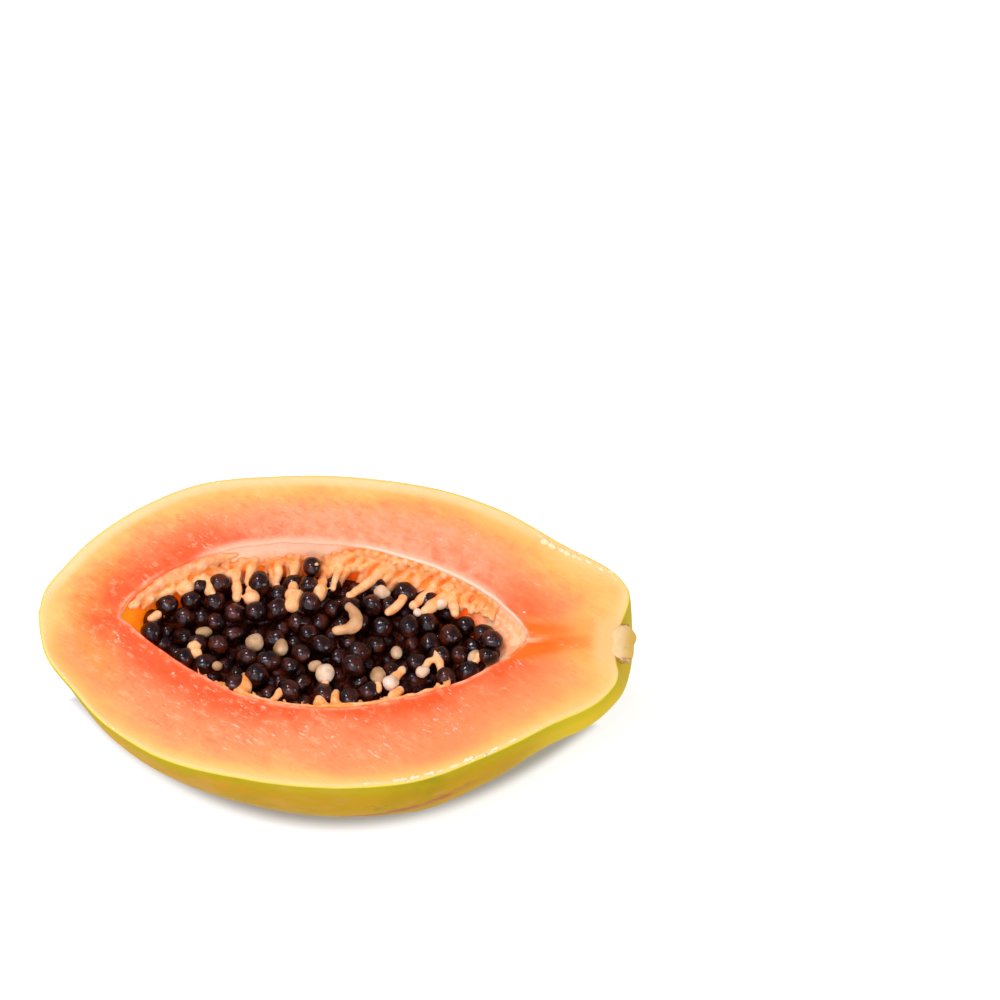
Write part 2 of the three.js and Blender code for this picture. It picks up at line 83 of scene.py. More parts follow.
SEED_LENGTH, SEED_WIDTH, SEED_SPREAD = 6.9, 6.2, 0.12
SEED_COAT = 1.02  # how far the soft coats press into each other
SMALL_BELOW, SMALL_SINK = -0.4, 3.4  # a seed whose size draw is below that has sunk
SEED_PITCH, SEED_JITTER, SEED_LIFT = 6.3, 0.32, 1.8
BED_NEAR, BED_FAR, BED_HOLLOW, HOLLOW_WIDTH = 3.2, 10.5, 2.6, 9
WALL_GAP, OWN_ROOM = 0.9, 4.6
# The free strip between the bed and the far wall: least, more in the middle, middle, reach.
FAR_MARGIN = (2.6, 2.4, -18, 14)
BLOSSOM_MARGIN, STEM_MARGIN = 6.4, 7.5
SEED_SUNK = 0.3  # how far every seed stays below the cut face
SETTLE_ROUNDS, SETTLE_SHARE = 60, 0.25  # each round takes that share of the way to the bed
# The lower layer: pitch along and across, length and width, and how far below the bed.
LOWER_PITCH, LOWER_SEED, LOWER_DOWN = (5.8, 5.1), (6.4, 5.6), 5
PACKED_DOWN, PACKED_THICK, PACKED_ENDS = 4.6, 4, 7  # the block under both layers

# Seeds with a place of their own: x, y, height above the bed, length, width, turn in degrees,
# and the look.
OWN_SEEDS = [
    (-40.9, -0.1, 1.2, 5.2, 3.4, 20, "pale"),
    (-35.6, -13.4, 0.4, 3.4, 2.8, 30, "pale"),
    (-25, -3.1, 1.5, 6, 5.4, 65, "pale"),
    (-16.9, -4.6, 1.5, 5.6, 4.4, 80, "pale"),
    (-5.9, -11.2, 0.4, 4.2, 3.6, 20, "pale"),
    (-2.8, -14.3, 1.2, 6.4, 5.6, 75, "white"),
    (12.8, 17.4, 2, 5.2, 4, 0, "white"),
    (13.2, -14, 1, 6, 4.6, 100, "pale"),
    (17.3, -16.5, 1, 5, 4.6, 40, "white"),
    (18.3, -3.5, 0.4, 4.8, 3.4, 100, "pale"),
    (24.3, 10.7, 2, 2.8, 2.4, 0, "white"),
    (26.8, -11.7, 1, 4.4, 3.6, 20, "white"),
    (31.3, 14.2, 2.2, 4, 3.6, 0, "white"),
    (42.4, -4.5, 0.8, 5.4, 3.8, 60, "white"),
    (-9.4, 24.3, 5, 6.8, 5.8, 95, "dark"),
    (-10, 18.6, 2.2, 6.6, 5.8, 85, "dark"),
    (-44, 16.8, 2, 6.4, 5.8, 80, "dark"),
    (-37.4, 17.8, 2, 7, 5.8, 10, "dark"),
    (-25.6, 7.9, 2, 7, 6.6, 60, "dark"),
    (45.2, 4.4, 1.6, 7, 6, 10, "dark"),
    (46.4, -4.8, 1.4, 6.2, 5, 10, "dark"),
]

# Stalks that reach in over the seeds: x, y, depth below the cut face and radius from the root
# to the tip.
LONG_STALKS = [
    [
        (-33.2, 27.5, 9.4, 1.9), (-32.8, 22, 8.2, 1.5), (-32.3, 16.5, 7.1, 1.5),
        (-31.8, 12.4, 6.8, 1.5),
    ],
    [(-41.4, 22.4, 6.8, 1.4), (-40.7, 18, 6.6, 1.1), (-40, 13.8, 6.6, 1.7)],
    [(-28.6, 28, 9.4, 1.8), (-28.3, 21, 8.2, 1.6), (-28, 16.4, 7.6, 1.5), (-27.3, 13.2, 7.4, 2.5)],
    [(-15, 29, 9.6, 2), (-14.8, 19, 7.8, 1.5), (-14.4, 13.4, 6.6, 2.9), (-15, 10.6, 6.5, 2.4)],
    [(-5.4, 30.5, 10.5, 1.3), (-5.8, 22.5, 8.6, 1.2), (-6.6, 17.5, 7.2, 2.3), (-6.9, 15.3, 7, 2)],
    [(0.6, 30.5, 9.5, 1.2), (-1.5, 24, 8, 1.2), (-2.4, 18, 6.9, 1)],
    [(13.6, 29, 9, 1.9), (9.2, 21.5, 7.2, 1.7), (5, 17.3, 6.2, 1.5), (2.9, 14.9, 5.7, 1.3)],
    [(19.2, 27.5, 9, 1.6), (20, 18.6, 7.2, 1.6), (18.6, 13.2, 6, 1.5), (15, 9.5, 5.4, 1.2)],
    [(31.5, 24, 8.6, 1.7), (26.8, 17.7, 7, 1.7), (22.9, 13, 5.9, 1.4)],
    [(35.5, 22, 8, 1.6), (29.8, 14.4, 6.7, 2), (26.4, 11.1, 6.1, 1.6)],
    [(33.4, 23, 8, 1.5), (35.2, 15, 6.8, 1.5), (35.8, 11.2, 6.2, 1.3)],
    [(-27.2, -26, 2.6, 2.4), (-27.3, -20.5, 3.3, 2.2), (-26.8, -16.5, 4.2, 1.7)],
    [
        (-18.5, -28, 3.2, 1.1), (-17.2, -23.5, 2.6, 1.1), (-14.6, -20.3, 3, 1.1),
        (-12.2, -18, 3.6, 0.9),
    ],
    [(-3.8, -29, 2.8, 1.8), (-3.7, -23.6, 2.6, 1.8), (-3.4, -20, 3.2, 1.2)],
    [(0.6, -29, 2.6, 1.3), (0.8, -23.5, 2.4, 1.3), (0.9, -21, 2.8, 1)],
    [(16.8, -26.4, 2.6, 1.6), (18.2, -21.5, 2.4, 1.8), (20, -19.3, 2.8, 1.3)],
    [(34.2, -20, 4.6, 1.2), (33, -13.5, 4.2, 1.4), (31.6, -8, 4.2, 1.3), (30.4, -4.2, 4.8, 1)],
]
# Scraps that lie loose among the seeds. The first one has dried to a duller colour.
LOOSE_SCRAPS = [
    [(3, 10.6, 5.4, 1.5), (5.7, 6.5, 4.6, 2), (4, 3.1, 4.4, 2), (-0.5, 2, 4.9, 1.4)],
    [(-43, -3.6, 5.6, 1.6), (-43.2, -6.8, 4.8, 1.9), (-41.6, -9.9, 4.6, 1.4)],
    [(31.2, -6.4, 4.5, 1), (28.6, -7.6, 4.7, 1.2), (27.3, -9.6, 5.1, 1)],
    [(18.4, -14, 4.8, 1.6), (20.4, -11.2, 5.2, 1.3)],
    [(13.4, -14.4, 3.6, 1.2), (13.6, -19.5, 2.8, 1)],
    [(-2.4, -16.8, 3.6, 1.3), (-2.9, -20.6, 3.2, 1.5)],
    [(43.8, -4.9, 4.2, 1.2), (42.6, -6.7, 4.5, 1.1)],
    [(-8.3, 23.4, 2.1, 0.6), (-7.9, 23.5, 2.2, 0.6)],
    [(-20.2, 28, 9.4, 1.8), (-20, 24.2, 8.9, 1.6), (-19.9, 21.6, 9.4, 1.4)],
    [(-22.4, 27.6, 11, 1.5), (-20.6, 20.4, 10.2, 1.5), (-19.8, 18.2, 9.8, 1.3)],
]

# ---- Small tools ----


def mix(a, b, share):
    return a + (b - a) * share


def seeded(state):
    """Draws from 0 to 1, or from low to high, the same on every run. A power above 1 makes
    those near low more frequent."""

    def draw(low=0, high=1, power=1):
        nonlocal state
        state = (state * 1664525 + 1013904223) % 4294967296
        return mix(low, high, (state / 4294967296) ** power)

    return draw


def smooth(low, high, value):
    """0 below low, 1 above high and a smooth step between them."""
    t = np.clip((np.asarray(value, float) - low) / (high - low), 0, 1)
    return t * t * (3 - 2 * t)


def lumps(points, size, shift=0):
    """Smooth noise from about -1 to 1 at each point, with features of about that size."""
    q = np.asarray(points, float) / size + shift
    return np.array([noise.noise(Vector(p)) for p in q])


def curve(points, share):
    """Points of a uniform Catmull-Rom curve, for an array of shares from 0 to 1."""
    p = np.asarray(points, float)
    at = (len(p) - 1) * np.asarray(share, float)
    i = np.minimum(np.floor(at).astype(int), len(p) - 1)
    w = (at - i)[..., None]
    p0, p1 = p[np.maximum(i - 1, 0)], p[i]
    p2, p3 = p[np.minimum(i + 1, len(p) - 1)], p[np.minimum(i + 2, len(p) - 1)]
    v0, v1 = (p2 - p0) / 2, (p3 - p1) / 2
    bend = (2 * p1 - 2 * p2 + v0 + v1) * w**3 + (-3 * p1 + 3 * p2 - 2 * v0 - v1) * w**2
    return bend + v0 * w + p1


def to_row(points):
    """From the fruit's frame in millimetres to the row frame in metres."""
    return (np.asarray(points, float) - np.array([REST_X, 0, 0])) * MM


def link(name, data):
    obj = bpy.data.objects.new(name, data)
    bpy.context.scene.collection.objects.link(obj)
    return obj


def add_object(name, points, faces, materials, node, slot, face_material=None, weld=0):
    mesh = bpy.data.meshes.new(name)
    mesh.from_pydata(to_row(points).tolist(), [], faces)
    for material in materials:
        mesh.materials.append(material)
    if face_material is not None:
        mesh.polygons.foreach_set("material_index", np.asarray(face_material, np.int32))
    obj = link(name, mesh)
    if weld:
        bm = bmesh.new()
        bm.from_mesh(mesh)
        bmesh.ops.remove_doubles(bm, verts=bm.verts, dist=weld * MM)
        bmesh.ops.recalc_face_normals(bm, faces=bm.faces)
        bm.to_mesh(mesh)
        bm.free()
    mesh.polygons.foreach_set("use_smooth", np.ones(len(mesh.polygons), bool))
    mesh.update()
    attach(obj, "root")
    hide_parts(node)
    return obj


def set_attribute(obj, name, values):
    """A number for each vertex, which the materials read."""
    layer = obj.data.attributes.new(name, "FLOAT", "POINT")
    layer.data.foreach_set("value", np.asarray(values, np.float32))


def vertex_rows(mesh, name):
    """The place ("co") or the normal of each vertex, as rows of three numbers."""
    numbers = np.zeros(len(mesh.vertices) * 3, np.float32)
    mesh.vertices.foreach_get(name, numbers)
    return numbers.reshape(-1, 3).astype(float)


def grid_faces(rows, columns, start=0, closed=False):
    faces = []
    wide = columns if closed else columns - 1
    for i in range(rows - 1):
        here = start + i * columns
        for j in range(wide):
            k = (j + 1) % columns
            faces.append((here + j, here + k, here + columns + k, here + columns + j))
    return faces


# ---- The fruit's surfaces ----


def skin_points(t, angle):
    """Skin points: t from the blossom tip (0) to the stem (1), angle from the far edge of the
    cut (0) under the fruit to the near edge (pi)."""
    far, near, section = curve(FAR_LINE, t), curve(NEAR_LINE, t), curve(SECTION, t)
    share = (1 - np.cos(angle)) / 2
    down = np.sin(angle)
    ends = np.sqrt(np.maximum(0, np.sin(np.pi * t)))
    lobe = 1 + LOBE_HEIGHT * ends * np.sin(LOBE_COUNT * angle)
    shape = 1 + section[..., 0] * np.sin(2 * angle) ** 2 + section[..., 1] * down
    radius = mix(far[..., 1], near[..., 1], share) * lobe * shape
    x = mix(far[..., 0], near[..., 0], share) + SHOULDER * down * smooth(0.72, 0.88, t)
    return np.stack([x, radius * np.cos(angle), CUT_LEVEL - radius * down], -1)


def reach(side, x):
    """How far one side of the cavity reaches at x."""
    x = np.asarray(x, float)
    tip = np.where(x > WIDEST, STEM_TIP, BLOSSOM_TIP)
    power = np.where(x > WIDEST, side[2], side[1])
    v = np.minimum(1, (x - WIDEST) / (tip - WIDEST))
    return side[0] * np.maximum(0, 1 - v * v) ** power


def wall_points(x, angle):
    far_side = np.cos(angle) > 0
    across = np.where(far_side, reach(FAR, x), reach(NEAR, x)) * np.cos(angle)
    furrow = 1 + CAVITY_LOBES * np.sin(LOBE_COUNT * angle)
    deep = reach(DEPTH, x) * np.sin(angle) * furrow
    return np.stack([x + 0 * angle, across, CUT_LEVEL - deep], -1)


def wall_reach(side, x, level):
    depth = np.maximum(0.1, reach(DEPTH, x))
    down = np.clip((CUT_LEVEL - level) / depth, 0, 1)
    return reach(side, x) * np.sqrt(1 - down * down)


ALONG, AROUND, ACROSS, DOWN = 300, 100, 44, 50
EDGE, RIM = 0.3, 0.6  # rounding of the skin's cut edge and of the cavity's rim


def half_round(depth, rounding, steps):
    """How far below its edge each row of a surface starts, and its angles from just under
    one edge to just under the other."""
    depth = np.maximum(0.01, depth)
    start = np.minimum(rounding, 0.3 * depth)
    first = np.arcsin(start / depth)[:, None]
    return start, mix(first, np.pi - first, np.arange(steps + 1) / steps)


def fruit_body():
    """Skin, cut face and cavity wall as one closed surface."""
    t = np.arange(ALONG + 1) / ALONG
    x = mix(BLOSSOM_TIP, STEM_TIP, (1 - np.cos(np.pi * t)) / 2)
    blocks, faces, kinds = [], [], []

    def add(points, kind, closed=False):
        new = grid_faces(*points.shape[:2], sum(len(b) for b in blocks), closed)
        blocks.append(points.reshape(-1, 3))
        faces.extend(new)
        kinds.extend([kind] * len(new))

    edge, angle = half_round(curve(FAR_LINE, t)[:, 1], EDGE, AROUND)
    skin = skin_points(t[:, None] + 0 * angle, angle)
    add(skin, 0)
    rim, angle = half_round(reach(DEPTH, x), RIM, DOWN)
    wall = wall_points(x[:, None] + 0 * angle, angle)
    add(wall, 2)

    # Cut face, in rings from the skin to the cavity.
    outer, inner = (np.concatenate([s[:, 0], s[-2:0:-1, -1]])[:, :2] for s in (skin, wall))
    edges, rims = (np.concatenate([r, r[-2:0:-1]]) for r in (edge, rim))
    line = inner - outer
    length = np.linalg.norm(line, axis=1)
    rings = []

    def add_rounding(start, onward, size, turns):
        for turn in turns:
            a = math.radians(turn)
            flat = start + onward * (size * (1 - math.cos(a)) / length)[:, None]
            rings.append(np.column_stack([flat, CUT_LEVEL - size * (1 - math.sin(a))]))

    add_rounding(outer, line, edges, (0, 45, 90))
    for i in range(1, ACROSS):
        share = mix(edges / length, 1 - rims / length, i / ACROSS)
        flat = outer + line * share[:, None]
        rings.append(np.column_stack([flat, np.full(len(flat), CUT_LEVEL)]))
    add_rounding(inner, -line, rims, (90, 60, 30, 0))
    add(np.array(rings), 1, closed=True)
    obj = add_object(
        "papaya_flesh", np.concatenate(blocks), faces, [skin_look(), flesh_look(), wall_look()],
        "papaya_half", "flesh", kinds, weld=0.002,
    )
    shape_body(obj, outer, inner)


def line_distance(points, loop):
    """Distance of each flat point from a closed line."""
    best = np.full(len(points), 1e9)
    for a, b in zip(loop, np.roll(loop, -1, 0)):
        along = b - a
        size = max(1e-9, along @ along)
        s = np.clip(((points - a) @ along) / size, 0, 1)
        gap = points - a - s[:, None] * along
        best = np.minimum(best, (gap * gap).sum(1))
    return np.sqrt(best)


def shape_body(obj, outline, rim):
    """Natural unevenness, and the numbers that the materials read."""
    p = vertex_rows(obj.data, "co") / MM + np.array([REST_X, 0, 0])
    flat = p[:, :2]
    top = p[:, 2] > CUT_LEVEL - 0.7
    skin_mm, core_mm = np.full(len(p), 30.0), np.zeros(len(p))
    skin_mm[top] = line_distance(flat[top], outline)
    core_mm[top] = line_distance(flat[top], rim)
    axis = np.hypot(p[:, 1], CUT_LEVEL - p[:, 2])
    widest = np.maximum(reach(FAR, p[:, 0]), reach(NEAR, p[:, 0]))
    hollow = (abs(p[:, 0] - WIDEST) < 70) & (axis < 1.02 * widest)
    outside = ~top & ~hollow
    skin_mm[outside], core_mm[outside] = 0, 30
    # Slow unevenness of the skin, less near the cut and at the spot it rests on.
    low = lumps(p, 22) * 0.5 + lumps(p, 7, 3.1) * 0.12
    near_skin = np.exp(-np.where(top, skin_mm, np.where(outside, 0, 30)) / 3)
    out = np.column_stack([0.15 * p[:, 0] / 90, p[:, 1], p[:, 2] - CUT_LEVEL])
    out /= np.maximum(1e-6, np.linalg.norm(out, axis=1))[:, None]
    lift = (low * near_skin * smooth(0.5, 7, p[:, 2]))[:, None] * out
    lift[top, 2] = 0
    p = p + lift
    # The cavity's rim wavers a little.
    near_rim = np.exp(-np.where(top, core_mm, np.where(hollow, 0, 30)) / 2)
    waver = lumps(p * [1, 1, 0.5], 9, 7.7) * 0.55 + lumps(p * [1, 1, 0.5], 3.6, 1.7) * 0.22
    p[:, 1] += waver * near_rim * smooth(0, 8, reach(FAR, p[:, 0]))
    # The furrow that runs on from the cavity's tip towards the stem.
    past = (p[:, 0] - STEM_TIP) / CREASE[0]
    line = np.exp(-((p[:, 1] / (CREASE[1] * 0.36)) ** 2)) * smooth(-0.9, -0.1, past)
    p[:, 2] -= np.where(top, CREASE[2] * 0.6 * line * (1 - smooth(0, 1, past)), 0)
    # A knife leaves the face not quite flat.
    wave = lumps(p * [0.6, 1, 1], 16, 5.5) * 0.22 + lumps(p * [0.5, 1, 1], 5, 2.5) * 0.07
    p[:, 2] += np.where(top & (skin_mm > 0.2), wave * smooth(0, 6, skin_mm), 0)
    p[:, 2] = np.maximum(p[:, 2], 0)
    obj.data.vertices.foreach_set("co", to_row(p).astype(np.float32).ravel())
    obj.data.update()
    set_attribute(obj, "skin_mm", skin_mm)
    set_attribute(obj, "core_mm", core_mm)


# ---- Materials ----


def rgb(code):
    """A colour such as "f0a060" as linear numbers."""
    parts = [int(code[i : i + 2], 16) / 255 for i in (0, 2, 4)]
    linear = [c / 12.92 if c <= 0.04045 else ((c + 0.055) / 1.055) ** 2.4 for c in parts]
    return (*linear, 1)


class Look:
    """A material made of nodes, with short ways to add them. It measures in millimetres."""

    def __init__(self, name, **constants):
        self.material = bpy.data.materials.new(name)
        self.material.use_nodes = True
        self.tree = self.material.node_tree
        self.shader = self.tree.nodes["Principled BSDF"]
        self.base = None
        for socket, value in constants.items():
            self.shader.inputs[socket.replace("_", " ")].default_value = value
        metres = self.add("ShaderNodeTexCoord", {}).outputs["Object"]
        self.place = self.vector("SCALE", {0: metres, "Scale": 1000})

    def put(self, value, socket):
        if isinstance(value, bpy.types.NodeSocket):
            self.tree.links.new(value, socket)
        elif isinstance(value, str):
            socket.default_value = rgb(value)
        else:
            socket.default_value = value

    def add(self, kind, inputs, operation=None):
        """A new node, with a value or another node's socket for each of these inputs."""
        node = self.tree.nodes.new(kind)
        if operation:
            node.operation = operation
        for name, value in inputs.items():
            self.put(value, node.inputs[name])
        return node

    def vector(self, operation, inputs):
        return self.add("ShaderNodeVectorMath", inputs, operation).outputs[0]

    def math(self, operation, a, b=0):
        return self.add("ShaderNodeMath", {0: a, 1: b}, operation).outputs[0]

    def joined(self, operation, values):
        """All the values in one. A tuple stands for what band() makes of it."""
        result, *others = (self.band(*v) if isinstance(v, tuple) else v for v in values)
        for value in others:
            result = self.math(operation, result, value)
        return result

    def times(self, *values):
        return self.joined("MULTIPLY", values)

    def plus(self, *values):
        return self.joined("ADD", values)

    def most(self, *values):
        return self.joined("MAXIMUM", values)

    def minus(self, a, b):
        return self.math("SUBTRACT", a, b)

    def axes(self):
        return self.add("ShaderNodeSeparateXYZ", {0: self.place}).outputs

    def attribute(self, name):
        node = self.add("ShaderNodeAttribute", {})
        node.attribute_name = name
        return node.outputs["Fac"]

    def turned(self, angle):
        """The place, turned about the vertical."""
        node = self.add("ShaderNodeVectorRotate", {"Vector": self.place, "Angle": angle})
        node.rotation_type = "Z_AXIS"
        return node.outputs[0]

    def noise(self, size, detail=3, stretch=None, where=None, rough=0.55, twist=0):
        """Noise from 0 to 1 with features of about size millimetres. A small stretch makes
        them long along x, or that way if it is a vector."""
        where = where or self.place
        if stretch:
            along = stretch if isinstance(stretch, tuple) else (stretch, 1, 1)
            where = self.vector("MULTIPLY", {0: where, 1: along})
        return self.add("ShaderNodeTexNoise", {
            "Vector": where, "Scale": 1 / size, "Detail": detail, "Roughness": rough,
            "Distortion": twist,
        }).outputs["Fac"]

    def cells(self, size):
        inputs = {"Vector": self.place, "Scale": 1 / size}
        return self.add("ShaderNodeTexVoronoi", inputs).outputs["Distance"]

    def sway(self, noise, size):
        """Noise from 0 to 1 as a shift of up to about half of size to either side."""
        return self.times(self.minus(noise, 0.5), size)

    def band(self, value, low, high, start=0, end=1):
        """start below low, end above high, smooth between."""
        node = self.add("ShaderNodeMapRange", {
            "Value": value, "From Min": low, "From Max": high, "To Min": start, "To Max": end,
        })
        node.interpolation_type = "SMOOTHSTEP"
        return node.outputs["Result"]

    def about(self, value, middle, none, full):
        """1 up to full away from the middle, 0 from none away."""
        return self.band(self.math("ABSOLUTE", self.minus(value, middle)), none, full)

    def ramp(self, value, stops):
        node = self.add("ShaderNodeValToRGB", {"Fac": value})
        elements = node.color_ramp.elements
        while len(elements) < len(stops):
            elements.new(0.5)
        for element, (at, code) in zip(elements, stops):
            element.position = at
            element.color = rgb(code)
        return node.outputs["Color"]

    def blend(self, share, a, b):
        node = self.tree.nodes.new("ShaderNodeMix")
        node.data_type = "RGBA"
        for value, name in ((share, "Factor"), (a, 6), (b, 7)):
            self.put(value, node.inputs[name])
        return node.outputs[2]

    def ground(self, value, stops):
        """The first layer of colour."""
        self.base = self.ramp(value, stops)

    def paint(self, colour, *shares):
        """Lays a colour over the layers so far, by the product of the shares."""
        self.base = self.blend(self.times(*shares), self.base, colour)

    def glow(self, strength, colour):
        self.put(colour, self.shader.inputs["Emission Color"])
        self.put(strength, self.shader.inputs["Emission Strength"])
        self.material.cycles.emission_sampling = "NONE"

    def finish(self, bump=None, bump_mm=0, strength=1, soft_mm=0, soft_share=1):
        """Hands on the colour, a bump, and how far light goes into the material."""
        inputs = self.shader.inputs
        self.put(self.base, inputs["Base Color"])
        if bump is not None:
            steps = {"Height": bump, "Distance": bump_mm * MM, "Strength": strength}
            self.put(self.add("ShaderNodeBump", steps).outputs["Normal"], inputs["Normal"])
        if soft_mm:
            self.shader.subsurface_method = "RANDOM_WALK"
            inputs["Subsurface Weight"].default_value = soft_share
            inputs["Subsurface Radius"].default_value = (1, 0.45, 0.2)
            inputs["Subsurface Scale"].default_value = soft_mm * MM
        return self.material


def skin_look():
    look = Look("papaya_skin", Roughness=0.5, Specular_IOR_Level=0.02)
    x, y, z = look.axes()
    patches = look.noise(34, 7, rough=0.6, twist=0.6)
    mottle = look.noise(6, 5, rough=0.65)
    # Riper on the near side, greener towards the stem and in one patch on the near flank.
    ripe = look.plus(
        look.times(patches, 1.1), look.times(mottle, 0.35), (y, -50, 40, 0.24, -0.08),
        (z, 4, 40, -0.12, 0), look.times(look.about(x, 26, 16, 6), -0.10),
        look.times((x, 40, 60, 0, -0.08), (x, 84, 74)),
        (x, 72, 84, 0, 0.2),
    )
    look.ground(ripe, [
        (0.50, "485e04"), (0.61, "6c7204"), (0.72, "8c7a05"), (0.84, "a08008"), (1, "ac850e"),
    ])
    specks = look.band(look.cells(1.6), 0.10, 0.2, 1, 0)
    look.paint("7e6c1c", specks, (look.noise(5, 2), 0.5, 0.62), 0.45)
    # Long pale brown scars, and a blush of orange where the skin is ripest.
    streak = look.noise(2.6, 4, 0.14, rough=0.62)
    look.paint("b27c50", (streak, 0.56, 0.66), (look.noise(24, 2), 0.46, 0.58), 0.6)
    look.paint("c88212", (look.noise(12, 3), 0.52, 0.7), (x, 20, -50, 0, 0.5))
    # Yellower at both ends and greener just below the cut.
    look.paint("d8bc22", (x, 54, 76), 0.6)
    look.paint("c89a0c", (x, -38, -72), (y, 4, -18), 0.7)
    edge = look.band(z, CUT_LEVEL - 8, CUT_LEVEL - 1.5)
    look.paint("a49c0c", edge, (patches, 0.3, 0.6, 0.2, 0.6))
    pale = look.band(look.noise(9, 4, 0.5), 0.46, 0.62)
    look.paint("c2924e", pale, 0.3, (x, 20, -10))
    # One long rub mark low on the near flank, with a few dark smudges above it.
    mark = look.plus(z, -27.5, look.times(x, -0.3), look.sway(mottle, 6))
    look.paint(
        "9c5c3a", look.about(mark, 0, 3.2, 0.6), (x, 2, 12), (x, 52, 38),
        (y, 0, -8), (streak, 0.38, 0.50, 0.35, 0.95),
    )
    look.paint(
        "6a5c1c", look.about(x, 17, 6, 1), (y, 0, -8), look.about(z, 40, 4, 1),
        (look.noise(1.6, 3), 0.5, 0.62), 0.6,
    )
    grain = look.plus(look.noise(1.1, 3), look.times(mottle, 0.5))
    return look.finish(grain, 0.05, 0.7, soft_mm=1, soft_share=0.1)


def flesh_look():
    look = Look("papaya_flesh", Roughness=0.45, Specular_IOR_Level=0.25)
    x, y, _ = look.axes()
    skin, core = look.attribute("skin_mm"), look.attribute("core_mm")
    calm = look.band(x, 0, 45, 1, 0.5)
    # Fibres run through the flesh at a slant, so most marks are stretched that way.
    slant = look.turned(0.5)
    mottle = look.noise(3.6, 5, 0.5, slant, rough=0.66, twist=0.4)
    # The skin fades into the flesh over fewer millimetres on the near side.
    ruffle = look.plus(
        look.sway(look.noise(18, 3), 14), look.times(look.sway(mottle, 12), calm),
        (y, 5, -25, 0, 4.8), (x, 45, 75, 0, -3.2),
        look.times((x, -55, -72), (y, 0, -10), 1.6),
        look.times((x, -6, 12), (x, 50, 36), (y, -10, -24), 2.4),
    )
    inward = look.plus(skin, look.times(ruffle, (skin, 0.6, 7)))
    inward = look.most(inward, look.times(skin, 0.45))
    inward = look.plus(inward, look.times((x, 48, 72), (skin, 6, 13), -2.2))
    look.ground(look.math("DIVIDE", inward, 30), [
        (0, "b0a014"), (0.010, "dabe50"), (0.030, "f4c080"), (0.08, "f8b46a"),
        (0.18, "f8a85a"), (0.32, "f89656"), (0.52, "f88450"), (0.95, "f8784a"),
    ])
    # Cream along the far edge, more orange at the blossom tip and at its near corner.
    thin = look.times((skin, 0.6, 1.4), (skin, 5, 2.2))
    look.paint("f8cea4", (y, 0, 15), thin, (x, 72, 40, 0.1, 0.45))
    look.paint("f88630", (x, -58, -70), (skin, 6, 12), 0.7)
    corner = look.times((x, -50, -68), (y, -4, -14))
    look.paint("f28c40", corner, (skin, 9, 4), (skin, 0.5, 1.6), 0.4)
    # Deep red-orange round the cavity, most of it on the left and along the near side.
    patch = look.noise(12, 5, 0.7, slant, rough=0.6, twist=0.5)
    near = look.times((core, 16, 1), (skin, 5, 13))
    left = look.times((x, -10, -45), 0.55)
    rim = look.times((core, 7, 1.5), (y, -4, -12), 0.5)
    amount = look.plus((patch, 0.40, 0.60, 0.2, 0.8), left, rim)
    look.paint("fb4c12", look.math("MINIMUM", look.times(near, amount), 0.95))
    # Milky pink over the middle of the far side and of the near side.
    far_milk = look.times((y, 4, 24), (x, -48, -12))
    near_milk = look.times((y, -31, -40), (x, -40, -10, 0, 0.12))
    cloud = look.band(look.noise(5, 5, where=slant, rough=0.65), 0.40, 0.60, 0.45, 1)
    look.paint(
        "f89a76", look.most(far_milk, near_milk), (skin, 8, 15, 0, 0.85),
        cloud, (x, 66, 40),
    )
    # Small red flecks and pale specks along the fibres.
    inside = look.band(skin, 3, 12)
    flecks = look.noise(1.8, 4, 0.6, slant, rough=0.66)
    for colour, low, high in (("f85018", 0.53, 0.66), ("fbb488", 0.46, 0.34)):
        look.paint(colour, (flecks, low, high), inside, calm, 0.32)
    # Deep orange patches on both sides of the furrow between the cavity and the stem.
    halo = look.times(look.about(y, 0, 11, 2), (x, 54, 62), (x, 86, 77))
    look.paint("f88a3c", halo, 0.6)
    strand = look.noise(2.6, 3, 0.12)
    drift = look.plus(y, look.sway(strand, 2.4), look.sway(mottle, 2.6))
    near_drift = look.minus(drift, look.times(x, 0.29))
    far_patch = look.times(look.about(drift, 2.8, 3.8, 1), (x, 52, 58), (x, 79, 63))
    near_patch = look.times(look.about(near_drift, -22.2, 4.2, 1.2), (x, 50, 57), (x, 78, 66))
    tail = look.times(look.about(drift, -0.6, 2.6, 0.6), (x, 60, 67), (x, 86, 70), 0.75)
    look.paint("fb6204", look.most(far_patch, near_patch, tail), 0.95)
    furrow = look.times(look.about(y, -0.5, 1.4, 0.4), (x, 56, 58.5))
    look.paint("ffb890", furrow, (x, 66, 60), 0.75)
    round_stem = look.plus(look.math("ABSOLUTE", y), look.sway(mottle, 9))
    look.paint("f2b274", (x, 78.5, 83.5), (round_stem, 13, 4), 0.85)
    # A pale lip here and there along the rim of the cavity, wider on the far side.
    lip = look.band(look.noise(7, 3), 0.38, 0.62, 0.1, 0.8)
    look.paint("f8a884", (core, 1.7, 0.4), lip)
    middle = look.times((y, 10, 18), (x, -46, -34), 0.85)
    look.paint("faae90", (core, 3.4, 0.4), middle)
    # Painted highlight: a thin pale glint on the far rim, right of the middle.
    glint = look.times((y, 0, 6), (x, 2, 14), 0.8)
    look.paint("fac8b4", (core, 1.2, 0.2), glint)
